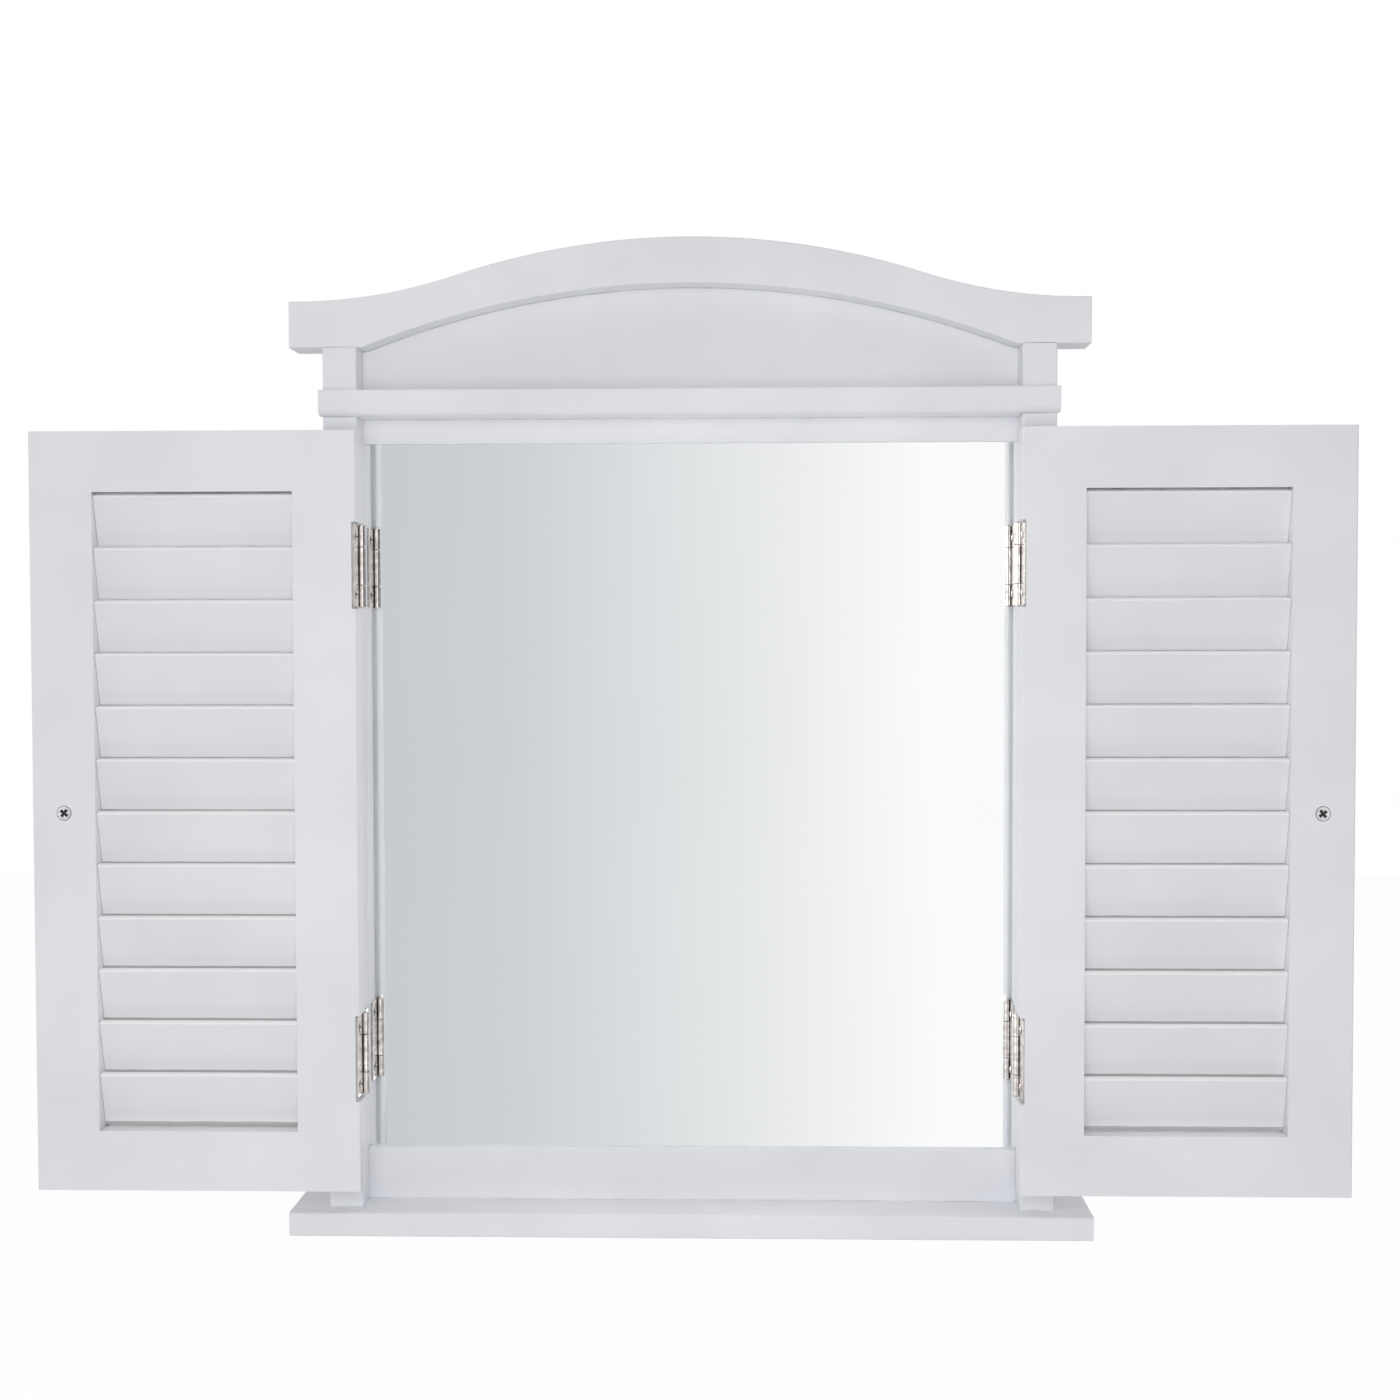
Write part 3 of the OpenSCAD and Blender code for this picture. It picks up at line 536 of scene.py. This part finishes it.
def plated(name, dark, light, rough_low, rough_high, cloud_mm):
    """Plated metal, mottled between two colours at the size of cloud_mm."""
    material, tree = blank_material(name)
    place = add_node(tree, "ShaderNodeTexCoord").outputs["Object"]
    cloud = add_node(tree, "ShaderNodeTexNoise", {
        "Vector": place, "Scale": 1 / (cloud_mm * MM), "Detail": 4.0, "Roughness": 0.65})
    fine = add_node(tree, "ShaderNodeTexNoise", {
        "Vector": place, "Scale": 1 / GRAIN, "Detail": 2.0})
    bump = add_node(tree, "ShaderNodeBump", {
        "Height": fine.outputs[0], "Strength": 0.2, "Distance": GRAIN_DEEP})
    # Closed-in places turn dark and less metallic: dirt with painted shade.
    crevice_dirt_and_shade = closed_in(tree, DIRT_AND_SHADE_REACH)
    colour = add_node(tree, "ShaderNodeMixRGB", {
        "Fac": crevice_dirt_and_shade, "Color1": ramp(tree, cloud.outputs[0], (0.35, dark), (0.65, light)),
        "Color2": linear("#3b3836")})
    finish_material(tree, Base_Color=colour.outputs[0], Normal=bump.outputs[0],
                    Metallic=levels(tree, crevice_dirt_and_shade, 0, 1, 1.0, 0.3),
                    Roughness=levels(tree, cloud.outputs[0], 0.35, 0.65, rough_high, rough_low))
    return material


# Gives a warm shine with soft dark streaks.
nickel = plated("dulled_nickel_plate", "#ccc4c0", "#f4f1ef", 0.16, 0.28, 3.0)
# Gives a cool, slightly cloudy shine.
zinc = plated("bright_zinc_plate", "#a8abb0", "#c6c8cc", 0.24, 0.36, 1.6)
# Gives a dull grey gleam.
sheet_steel = plated("galvanised_sheet_steel", "#9fa3a6", "#c4c7c9", 0.34, 0.5, 5.0)
# Gives a dull dark grey: dirt, and painted shade where no lamp shines in.
shade_and_dirt = clouded("painted_shade_and_dirt_in_screw_heads", 0.4, "#3a3936", "#5c5b58", Roughness=0.9)
print("metals:", nickel.name, zinc.name, sheet_steel.name, shade_and_dirt.name)

# %% [markdown]
# ## Glass, board and bare wood
# The mirror is 3 mm float glass, silvered behind. The light that the mirror throws back on the
# paint around it counts, and a renderer loses light that goes through glass twice. So the big
# faces wear the silvering, and the edges wear the glass. The back is brown hardboard, pressed
# from wood fibre. The dowels are bare beech.

# %% Silvering, glass, hardboard, beech
# Gives a clear reflection that is a little cooler and darker than the room.
silvering = clouded("silvered_float_glass", 160, "#f9fafa", "#fbfcfc",
                    Metallic=1.0, Roughness=0.0)
# Gives a clear, bright line along the pane's edge.
glass = clouded("float_glass", 90, "#fafdfc", "#fcfefd",
                Transmission_Weight=1.0, Roughness=0.0, IOR=1.52)


def fibrous(name, dark, light, fibre_mm, long_mm, along, roughness):
    """Fibres of two tones, drawn out along one axis."""
    material, tree = blank_material(name)
    place = add_node(tree, "ShaderNodeTexCoord").outputs["Object"]
    scale = [1 / ((long_mm if axis == along else fibre_mm) * MM) for axis in "XYZ"]
    drawn = add_node(tree, "ShaderNodeMapping", {"Vector": place, "Scale": scale})
    fibres = add_node(tree, "ShaderNodeTexNoise", {
        "Vector": drawn.outputs[0], "Scale": 1.0, "Detail": 4.0, "Roughness": 0.7})
    bump = add_node(tree, "ShaderNodeBump", {
        "Height": fibres.outputs[0], "Strength": 0.4, "Distance": 0.08 * MM})
    finish_material(tree, Base_Color=ramp(tree, fibres.outputs[0], (0.3, dark), (0.7, light)),
                    Roughness=roughness, Normal=bump.outputs[0])
    return material


# Gives a matt brown felt of short fibres.
hardboard = fibrous("brown_hardboard", "#7c5836", "#a98257", 1.3, 3.0, "X", 0.62)
# Gives a pale wood with fine straight grain.
beech = fibrous("bare_beech", "#c29a68", "#dcbb8c", 0.8, 12.0, "Z", 0.6)
print("glass and boards:", silvering.name, glass.name, hardboard.name, beech.name)

# %% [markdown]
# ## Handing a piece over
# Every piece is set on the body that it moves with, and the parts of the construction that it
# stands for are hidden.

# %% Handing over
def hand_over(piece, body, nodes, slot, material=None, flat_faces=True):
    """Smooths a piece, gives it one material if any is named, and sets it on its body."""
    smooth(piece, flat_faces)
    if material:
        piece.data.materials.clear()
        piece.data.materials.append(material)
    let_go()
    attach(piece, body)
    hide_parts(*nodes)


def board(node, name, body, material, slot="white_paint", width=0.0, test=None):
    """Dresses a copy of one part: merged, its chosen edges eased, and painted."""
    piece = copy_at(frame["nodes"][node], name)
    edit(piece)
    bpy.ops.mesh.select_all(action="SELECT")
    bpy.ops.mesh.remove_doubles(threshold=0.001 * MM)
    bpy.ops.mesh.dissolve_limited(angle_limit=math.radians(0.3))
    if width:
        bpy.ops.mesh.select_mode(type="EDGE")
        pick_edges(piece, test)
        bpy.ops.mesh.bevel(offset=width * MM, segments=3, affect="EDGES",
                           clamp_overlap=True)
    hand_over(piece, body, [node], slot, material)


SHUTTERS = {"left": -1, "right": 1}

# %% [markdown]
# ## The frame's boards
# Two posts, two rails, the panel in the arch, the hood and the sill are sawn boards. Their
# shapes with all joints come from the construction, so each is copied, merged and painted
# along its grain. The hood's outline has no rounding in the construction, so it is eased here
# as sandpaper does it.

# %% Posts, rails, panel, hood and sill
for side in SHUTTERS:
    board(f"{side}_post", f"painted_{side}_post", "frame", paint_upright)
for rail in ("top_rail", "bottom_rail"):
    board(rail, f"painted_{rail}", "frame", paint_across)
board("pediment_panel", "painted_panel", "frame", paint_across)
hood_low, hood_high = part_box("arched_hood")


def on_hood_faces(a, b):
    """Both ends on the hood's front, or both on its back."""
    return any(abs(a.y - y) < 0.05 * MM and abs(b.y - y) < 0.05 * MM
               for y in (hood_low.y, hood_high.y))


board("arched_hood", "painted_hood", "frame", paint_across, width=0.9, test=on_hood_faces)
board("sill", "painted_sill", "frame", paint_across)
print("hood", [round(v / MM, 1) for v in hood_high - hood_low], "mm")

# %% [markdown]
# ## The moulding
# A planed strip crosses the posts under the hood. It starts as the block between the posts.
# Its front part is drawn out at both ends to cross the posts, then the lower front edge gets
# its round nose and the upper one a small ease.

# %% Cross moulding
NOSE, MOULDING_EASE, ROOM_BY_POST = 4.0, 1.0, 0.1
moulding_low, moulding_high = (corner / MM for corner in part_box("cross_moulding"))
post_low, post_high = (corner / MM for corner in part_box("left_post"))
between = -post_high.x - ROOM_BY_POST  # half the length that fits between the posts
moulding = block("painted_moulding", (-between, moulding_low.y, moulding_low.z),
                 (between, moulding_high.y, moulding_high.z))
edit(moulding)
bpy.ops.mesh.select_all(action="SELECT")
bpy.ops.mesh.bisect(plane_co=(0, post_low.y * MM, 0), plane_no=(0, 1, 0))
for end in (-1, 1):
    pick_faces(moulding, lambda c, n: n.x * end > 0.9 and c.y < post_low.y * MM)
    draw_by((end * (moulding_high.x - between), 0, 0))
bpy.ops.mesh.select_mode(type="EDGE")


def on_front_edge(height):
    """The test for edges along the moulding's front at a height."""
    return lambda *ends: all(abs(p.z - height * MM) < 0.01 * MM
                             and abs(p.y - moulding_low.y * MM) < 0.01 * MM for p in ends)


for height, radius, segments in ((moulding_low.z, NOSE, 8), (moulding_high.z, MOULDING_EASE, 3)):
    count = pick_edges(moulding, on_front_edge(height))
    bpy.ops.mesh.bevel(offset=radius * MM, segments=segments, affect="EDGES",
                       clamp_overlap=False)
    print("moulding edge at", round(height, 1), "mm:", count, "pieces")
ease(moulding, 0.25)
hand_over(moulding, "frame", ["cross_moulding"], "white_paint", paint_across)

# %% [markdown]
# ## The shutters' frames
# Each shutter has two stiles and two rails, joined by tenons. The slanted grooves that hold the
# slats are in the construction's stiles, so these are dressed copies too.

# %% Stiles and rails
for side in SHUTTERS:
    for stile in ("hinge_stile", "free_stile"):
        board(f"{side}_{stile}", f"painted_{side}_{stile}", f"{side}_shutter", paint_upright)
    for rail in ("door_top_rail", "door_bottom_rail"):
        board(f"{side}_{rail}", f"painted_{side}_{rail}", f"{side}_shutter", paint_across)
stile_low, stile_high = (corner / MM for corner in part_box("left_free_stile"))
print("stile", [round(v, 1) for v in stile_high - stile_low], "mm")

# %% [markdown]
# ## Paint on the slats
# Where each slat is covered by the next one, and at its ends in the grooves, a thin darker line
# is painted on: painted shade. Just above the covered strip a whiter band is painted: painted
# light. The material finds these places by the height within one slat spacing, by the depth, and
# by the distance from the middle of the shutter.

# %% Slat paint
first_low, first_high = (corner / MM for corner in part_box("left_slat_01"))
second_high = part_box("left_slat_02")[1] / MM
SPACING, LAP = first_high.z - second_high.z, second_high.z - first_low.z
MIDDLE_X, MIDDLE_Y = (first_low.x + first_high.x) / 2, (first_low.y + first_high.y) / 2
OPENING_HALF = (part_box("left_hinge_stile")[0].x / MM - stile_high.x) / 2
LINE, WAVER, FADE = 0.2, 0.3, 0.2  # how far the painted shade strip shows, wavers and fades out
END_LINE = 0.15  # how far the painted shade shows at the slat's ends
LIGHT_BAND_HIGH, LIGHT_BAND_WHITE = 5.0, 0.6  # the painted light band's height and whiteness


def slat_light_and_shade(tree, place, colour):
    """Painted light low on a slat's face, painted shade on its covered strip and at its ends."""
    axes = add_node(tree, "ShaderNodeSeparateXYZ", {"Vector": place})
    waver = add_node(tree, "ShaderNodeTexNoise", {"Vector": place, "Scale": 1 / (12 * MM),
                                                  "Detail": 3.0})
    height = add_node(tree, "ShaderNodeMath", {0: axes.outputs["Z"], 1: first_low.z * MM},
                      operation="SUBTRACT")
    wave = add_node(tree, "ShaderNodeMath", {
        0: levels(tree, waver.outputs[0], 0.3, 0.7, -WAVER / 2 * MM, WAVER / 2 * MM),
        1: height.outputs[0]}, operation="ADD")
    in_spacing = add_node(tree, "ShaderNodeMath", {0: wave.outputs[0], 1: SPACING * MM},
                          operation="FLOORED_MODULO")
    strip = levels(tree, in_spacing.outputs[0], (LAP + LINE) * MM, (LAP + LINE + FADE) * MM, 1, 0)
    deep = levels(tree, axes.outputs["Y"], (MIDDLE_Y - 0.5) * MM, MIDDLE_Y * MM, 0, 1)
    covered = add_node(tree, "ShaderNodeMath", {0: strip, 1: deep}, operation="MULTIPLY")
    side = add_node(tree, "ShaderNodeMath", {0: axes.outputs["X"]}, operation="ABSOLUTE")
    off = add_node(tree, "ShaderNodeMath", {0: side.outputs[0], 1: abs(MIDDLE_X) * MM},
                   operation="SUBTRACT")
    far = add_node(tree, "ShaderNodeMath", {0: off.outputs[0]}, operation="ABSOLUTE")
    ends = levels(tree, far.outputs[0], (OPENING_HALF - END_LINE - FADE) * MM,
                  (OPENING_HALF - END_LINE) * MM, 0, 1)
    painted_shade_here = add_node(tree, "ShaderNodeMath", {0: covered.outputs[0], 1: ends},
                    operation="MAXIMUM")
    # Painted light: a whiter band just above the covered strip, against the shade there.
    light_band = levels(tree, in_spacing.outputs[0], LAP * MM, (LAP + LIGHT_BAND_HIGH) * MM, LIGHT_BAND_WHITE, 0)
    painted_light = add_node(tree, "ShaderNodeMixRGB", {
        "Fac": light_band, "Color1": colour.outputs[0], "Color2": linear("#ffffff")})
    # Painted shade: a greyer tone on the covered strip and at the slat's ends.
    return add_node(tree, "ShaderNodeMixRGB", {
        "Fac": painted_shade_here.outputs[0], "Color1": painted_light.outputs[0], "Color2": linear("#c4c1bf")})


slat_paint = satin_paint("satin_white_paint_on_slats", "X", slat_light_and_shade)
print("slat spacing", round(SPACING, 3), "mm, lap", round(LAP, 2), "mm")

# %% [markdown]
# ## The slats
# A slat is a thin strip with its long edges sanded round. Its length and the height that it
# fills at its slant come from the construction. It is made once, turned to its slant and
# copied to each of the 24 places.

# %% Slats
SLAT_THICK, SLAT_ROUND, SLAT_TILT = 4.0, 1.2, math.radians(17)
SLATS = sum(node.startswith("left_slat_") for node in frame["nodes"])
slat_long, slat_high = first_high.x - first_low.x, first_high.z - first_low.z
flat_thick = SLAT_THICK - 2 * SLAT_ROUND
flat_wide = (slat_high - 2 * SLAT_ROUND - flat_thick * math.sin(SLAT_TILT)) / math.cos(SLAT_TILT)
slat_wide = flat_wide + 2 * SLAT_ROUND
slat = block("slat_pattern", (-slat_long / 2, -SLAT_THICK / 2, -slat_wide / 2),
             (slat_long / 2, SLAT_THICK / 2, slat_wide / 2))
edit(slat, "EDGE")
pick_edges(slat, lambda a, b: abs(a.x - b.x) > slat_long / 2 * MM)
bpy.ops.mesh.bevel(offset=SLAT_ROUND * MM, segments=5, affect="EDGES", clamp_overlap=True)
bpy.ops.mesh.select_all(action="SELECT")
# In a window-less Blender this operator turns the other way, so its angle is written negative.
bpy.ops.transform.rotate(value=-SLAT_TILT, orient_axis="X", center_override=(0, 0, 0))
let_go()
top = max(slat.data.vertices, key=lambda v: v.co.z).co
print("slat", round(slat_wide, 2), "mm wide, upper edge at y =", round(top.y / MM, 2), "mm")
for side in SHUTTERS:
    for i in range(1, SLATS + 1):
        node = f"{side}_slat_{i:02d}"
        low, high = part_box(node)
        piece = copy_at(slat, f"painted_{node}", Matrix.Translation((low + high) / 2))
        hand_over(piece, f"{side}_shutter", [node], "white_paint", slat_paint)
bpy.data.objects.remove(slat)

# %% [markdown]
# ## The strip over the top slat
# A small strip behind each top slat closes the gap under the top rail, so the gap shows as a
# dark line and no light comes through. It is a block whose edges are eased.

# %% Gap strips
STRIP_FRONT, STRIP_BACK, STRIP_HIGH = -1.5, 2.5, 2.5  # depths are from the shutter's middle
rail_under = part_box("left_door_top_rail")[0].z / MM
strip_low = rail_under - STRIP_HIGH
for side, s in SHUTTERS.items():
    ends = sorted(s * (abs(MIDDLE_X) + half) for half in (-OPENING_HALF, OPENING_HALF))
    strip = block(f"painted_{side}_gap_strip", (ends[0], MIDDLE_Y + STRIP_FRONT, strip_low),
                  (ends[1], MIDDLE_Y + STRIP_BACK, rail_under))
    ease(strip, 0.4)
    smooth(strip)
    strip.data.materials.append(paint_across)
    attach(strip, f"{side}_shutter")
print("gap strips reach down to", round(strip_low, 1), "mm")

# %% [markdown]
# ## Screws
# A screw is turned: head, shank and point. The cross in the head is cut with two small tapered
# blades, which a Boolean modifier takes away. What they cut and the rim of the head get a dark
# second material: dirt, with painted shade in the cross and a painted shadow round the rim.
# Each kind is made once and copied.

# %% Screw patterns
BLADE_WIDE, BLADE_TAPER = 0.3, (0.45, 0.6, 1.0)  # shares of the blade's radius and of its top
RIM_DEPTH = 0.14  # how far down the rim gets the painted shadow


def cross_blades(radius, depth, height):
    """Two tapered blades, point down at height - depth."""
    wide = BLADE_WIDE * radius
    blades = []
    for turn in (0, math.pi / 2):
        blade = block("blade", (-radius, -wide, -depth), (radius, wide, depth))
        edit(blade)
        pick_faces(blade, lambda c, n: n.z < -0.9)
        bpy.ops.transform.resize(value=BLADE_TAPER)
        bpy.ops.mesh.select_all(action="SELECT")
        bpy.ops.transform.rotate(value=turn, orient_axis="Z", center_override=(0, 0, 0))
        bpy.ops.transform.translate(value=(0, 0, height * MM))
        let_go()
        blades.append(blade)
    return blades


def screw(name, outline, cross_radius, cross_depth, height, plate, rim):
    """A turned screw of plate with a cross in its head. The cross and the rim get painted shade.
    """
    piece = turned(name, outline, steps=32)
    piece.data.materials.append(plate)
    for blade in cross_blades(cross_radius, cross_depth, height):
        blade.data.materials.append(shade_and_dirt)
        take(piece)
        cut = piece.modifiers.new("cross", "BOOLEAN")
        cut.operation, cut.object, cut.solver = "DIFFERENCE", blade, "EXACT"
        cut.material_mode = "TRANSFER"
        bpy.ops.object.modifier_apply(modifier=cut.name)
        bpy.data.objects.remove(blade)
    # The rim's faces get the dark material too: a painted shadow round the head, with dirt.
    for face in piece.data.polygons:
        if face.center.xy.length > rim * MM and face.center.z > -RIM_DEPTH * MM:
            face.material_index = 1
    return piece


def screw_point(radius, length):
    """The outline of a shank from its point up, as (radius, height)."""
    tip = 1.5 * radius
    return [(0, -length), (0.3 * radius, -length), (radius, tip - length)]


# The screws in the leaves have a low domed head.
DOME_R, DOME_H, LEAF_SHANK, LEAF_SCREW = 2.2, 1.0, 1.2, 12.0
CROSS_R, CROSS_DEEP = 1.35, 0.75
outline = (screw_point(LEAF_SHANK, LEAF_SCREW) + [(LEAF_SHANK, 0), (DOME_R - 0.1, 0)]
           + dome(DOME_R, DOME_H, 0, 8))
domed_screw = screw("domed_screw_pattern", outline, CROSS_R, CROSS_DEEP, DOME_H, nickel,
                    DOME_R - 0.3)

# The screw that holds a knob is countersunk, its head flush with the surface.
SHANK, HEAD, KNOB_SCREW = 2.0, 4.0, 30.0
CROSS_R, CROSS_DEEP = 0.82 * HEAD, 0.32 * HEAD
outline = screw_point(SHANK, KNOB_SCREW) + [
    (SHANK, SHANK - HEAD), (HEAD - 0.15, -0.15), (HEAD - 0.1, -0.1), (HEAD - 0.4, 0), (0, 0)]
knob_screw = screw("knob_screw_pattern", outline, CROSS_R, CROSS_DEEP, 0, zinc, HEAD - 0.35)
print("screw faces:", len(domed_screw.data.polygons), len(knob_screw.data.polygons))

# %% [markdown]
# ## The hinges
# A butt hinge leaf is a stamped strip whose end is rolled round the pin. So the flat leaf is
# drawn out at its knuckles and that end is spun nearly once round the pin. The leaf on the
# frame has one middle knuckle, the leaf on the shutter has two outer ones.

# %% Hinge leaves
HINGE_LONG, LEAF_WIDE, LEAF_THICK, LEAF_CORNER = 43.0, 14.5, 1.0, 1.2
BARREL, AXIS_IN, KNUCKLE, KNUCKLE_GAP, ROOM = 2.1, 2.4, 19.8, 0.3, 0.3
ROLL_TURN, ROLL_STEPS = math.radians(300), 30
JOGGLE = AXIS_IN - BARREL


def hinge_leaf(name, in_knuckle):
    """A leaf that reaches inward from a pin at the origin. in_knuckle says what is rolled."""
    half, wall = HINGE_LONG / 2, BARREL + ROOM
    leaf = block(name, (-AXIS_IN, wall, -half), (LEAF_THICK - AXIS_IN, LEAF_WIDE, half))
    edit(leaf, "EDGE")
    pick_edges(leaf, lambda a, b: min(a.y, b.y) > (LEAF_WIDE - 0.1) * MM
               and abs(a.x - b.x) > 0.5 * MM)
    bpy.ops.mesh.bevel(offset=LEAF_CORNER * MM, segments=4, affect="EDGES")
    for height in (-KNUCKLE / 2 - KNUCKLE_GAP, -KNUCKLE / 2, KNUCKLE / 2,
                   KNUCKLE / 2 + KNUCKLE_GAP):
        bpy.ops.mesh.select_all(action="SELECT")
        bpy.ops.mesh.bisect(plane_co=(0, 0, height * MM), plane_no=(0, 0, 1))
    bpy.ops.mesh.select_mode(type="FACE")
    pick_faces(leaf, lambda c, n: n.y < -0.9 and in_knuckle(c.z / MM))
    draw_by((JOGGLE, -wall, 0))
    bpy.ops.mesh.spin(steps=ROLL_STEPS, angle=ROLL_TURN, center=(0, 0, 0), axis=(0, 0, 1))
    clean_shell()
    let_go()
    ease(leaf, 0.12, 1)
    return leaf


frame_leaf = hinge_leaf("frame_leaf_pattern", lambda z: abs(z) < KNUCKLE / 2)
door_leaf = hinge_leaf("door_leaf_pattern", lambda z: abs(z) > KNUCKLE / 2 + KNUCKLE_GAP)
low = min(v.co.x for v in frame_leaf.data.vertices) / MM
high = max(v.co.x for v in frame_leaf.data.vertices) / MM
print("hinge leaf from", round(low, 2), "to", round(high, 2), "mm across")

# %% [markdown]
# ## The pin
# A plain rod holds the knuckles. It is as long as they are, with a low domed head at each end.

# %% Pin pattern
PIN, PIN_HEAD, PIN_DOME = 1.0, 1.5, 0.8
cap = dome(PIN_HEAD, PIN_DOME, HINGE_LONG / 2, 6)
pin = turned("pin_pattern", [(r, -z) for r, z in reversed(cap)]
             + [(PIN, -HINGE_LONG / 2), (PIN, HINGE_LONG / 2)] + cap, steps=24)
print("pin faces:", len(pin.data.polygons))

# %% [markdown]
# ## Placing the hinges
# The pins' place comes from the left joint, and the heights from the construction's own pins.
# The right side is the left side mirrored. Every screw stopped at another turn.

# %% Hinges on both sides
left_pins = Vector(frame["joints"][0]["pos_m"]) / MM
pins_low, pins_high = (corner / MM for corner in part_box("left_hinge_pins"))
pin_half = HINGE_LONG / 2 + PIN_DOME
HINGE_ZS = (round(pins_low.z + pin_half, 2), round(pins_high.z - pin_half, 2))
SCREW_IN, SCREW_UP = 8.7, 15.0  # from the pin, and from the hinge's middle
FLIP_X, FLIP_Y = Matrix.Scale(-1, 4, (1, 0, 0)), Matrix.Scale(-1, 4, (0, 1, 0))
turns = iter((12, 67, 35, 81, 20, 55, 5, 74, 48, 29, 62, 16, 40, 77, 9, 58))  # degrees


def at_hinges(side, make):
    """What make gives for each hinge at its height, on one side of the frame."""
    mirror = FLIP_X if side == "right" else Matrix.Identity(4)
    parts = []
    for z in HINGE_ZS:
        axis = Matrix.Translation(Vector((left_pins.x, left_pins.y, z)) * MM)
        for pattern, place in make():
            parts.append(copy_at(pattern, "part", mirror @ axis @ place))
    return parts


def leaf_screws(toward):
    """Two screws in a leaf. They point away from the pin's side, into the wood."""
    for s in (-1, 1):
        seat = Vector((LEAF_THICK - AXIS_IN, toward * SCREW_IN, s * SCREW_UP)) * MM
        yield domed_screw, (Matrix.Translation(seat) @ Matrix.Rotation(math.pi / 2, 4, "Y")
                            @ Matrix.Rotation(math.radians(next(turns)), 4, "Z"))


for side in SHUTTERS:
    door = f"{side}_shutter"
    for name, node, body, plate, make in (  # a screw brings its own materials
            ("frame_leaves", f"{side}_frame_leaves", "frame", nickel,
             lambda: [(frame_leaf, Matrix.Identity(4))]),
            ("frame_leaf_screws", "frame_leaf_screws", "frame", None,
             lambda: leaf_screws(1)),
            ("door_leaves", f"{side}_door_leaves", door, nickel,
             lambda: [(door_leaf, FLIP_Y)]),
            ("door_leaf_screws", f"{side}_door_leaf_screws", door, None,
             lambda: leaf_screws(-1)),
            ("hinge_pins", f"{side}_hinge_pins", door, nickel,
             lambda: [(pin, Matrix.Identity(4))])):
        piece = as_one(at_hinges(side, make), f"nickel_{side}_{name}")
        hand_over(piece, body, [node], "nickel_hinge", plate, flat_faces=False)
for pattern in (frame_leaf, door_leaf, pin, domed_screw):
    bpy.data.objects.remove(pattern)
print("hinges placed at", HINGE_ZS)

# %% [markdown]
# ## Knobs
# Each shutter has a small turned knob on its show face, which points to the wall while the
# shutter is folded open. Its outline is a collar, a neck, a full rim and a shallow crown. It
# stands in the middle of the free stile, and its screw comes through from the inner face.

# %% Knobs and their screws
KNOB_R, KNOB_L, NECK, COLLAR, COLLAR_T = 11.5, 22.0, 5.5, 7.5, 2.0
COLLAR_EASE, COLLAR_ROUND, NECK_ROUND = 0.3, 0.5, 0.8
SCREW_TURNS = {"left": math.radians(51), "right": math.radians(37)}
rim_r, crown_r = 0.4 * KNOB_R, 1.4 * KNOB_R
crown_z = KNOB_L - crown_r
rim_z = crown_z + 0.8 * KNOB_R
knob_outline = ([(0, 0), (COLLAR - COLLAR_EASE, 0), (COLLAR, COLLAR_EASE),
                 (COLLAR, COLLAR_T - COLLAR_ROUND)]
                + arc((COLLAR - COLLAR_ROUND, COLLAR_T - COLLAR_ROUND), COLLAR_ROUND, 30, 90, 3)
                + arc((NECK + NECK_ROUND, COLLAR_T + NECK_ROUND), NECK_ROUND, 270, 180, 4)
                + arc((KNOB_R - rim_r, rim_z), rim_r, -75, 50, 12)
                + arc((0, crown_z), crown_r, 66, 90, 10))
knob = turned("knob_pattern", knob_outline)
stile_middle = (stile_low + stile_high) / 2
for side, s in SHUTTERS.items():
    x = s * abs(stile_middle.x)
    seat = Matrix.Translation(Vector((x, stile_high.y, stile_middle.z)) * MM)
    piece = copy_at(knob, f"turned_{side}_knob", seat @ Matrix.Rotation(-math.pi / 2, 4, "X"))
    hand_over(piece, f"{side}_shutter", [f"{side}_knob"], "white_paint", paint_upright,
              flat_faces=False)
    head = Matrix.Translation(Vector((x, stile_low.y, stile_middle.z)) * MM)
    piece = copy_at(knob_screw, f"zinc_{side}_knob_screw",
                    head @ Matrix.Rotation(math.pi / 2, 4, "X")
                    @ Matrix.Rotation(SCREW_TURNS[side], 4, "Z"))
    hand_over(piece, f"{side}_shutter", [f"{side}_knob_screw"], "zinc_screw")
for pattern in (knob, knob_screw):
    bpy.data.objects.remove(pattern)

# %% [markdown]
# ## The mirror glass
# The pane is a block with its edges ground to a small chamfer. Its two big faces wear the
# silvered glass and its edges the clear glass.

# %% Mirror glass
glass_low, glass_high = (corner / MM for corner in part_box("mirror_glass"))
glass_high.y -= 0.05  # leaves the silvering just clear of the board behind it
pane = block("mirror_pane", glass_low, glass_high)
ease(pane, 0.4, 1)
hand_over(pane, "frame", ["mirror_glass"], "mirror_glass", glass)
pane.data.materials.append(silvering)
for face in pane.data.polygons:
    face.material_index = 1 if abs(face.normal.y) > 0.99 else 0
    face.use_smooth = False
print("pane", [round(v, 1) for v in (glass_high - glass_low)], "mm")

# %% [markdown]
# ## The back
# Behind the glass are the hardboard, small steel points that hold it, dowels, two keyhole plates
# and the remaining screws. They are seen only from behind, so painted copies will do.

# %% Back, hangers and hidden fasteners
AT_THE_BACK = (
    ("backing_board", "hardboard_back", hardboard, "hardboard"),
    ("glazing_points", "steel_glazing_points", sheet_steel, "steel_plate"),
    ("hood_dowels", "beech_hood_dowels", beech, "beech_dowel"),
    ("hanger_plates", "steel_hanger_plates", sheet_steel, "steel_plate"),
    ("hanger_screws", "zinc_hanger_screws", zinc, "zinc_screw"),
    ("sill_screws", "zinc_sill_screws", zinc, "zinc_screw"),
)
for node, name, material, slot in AT_THE_BACK:
    board(node, name, "frame", material, slot)
print("back:", len(AT_THE_BACK), "kinds of parts")
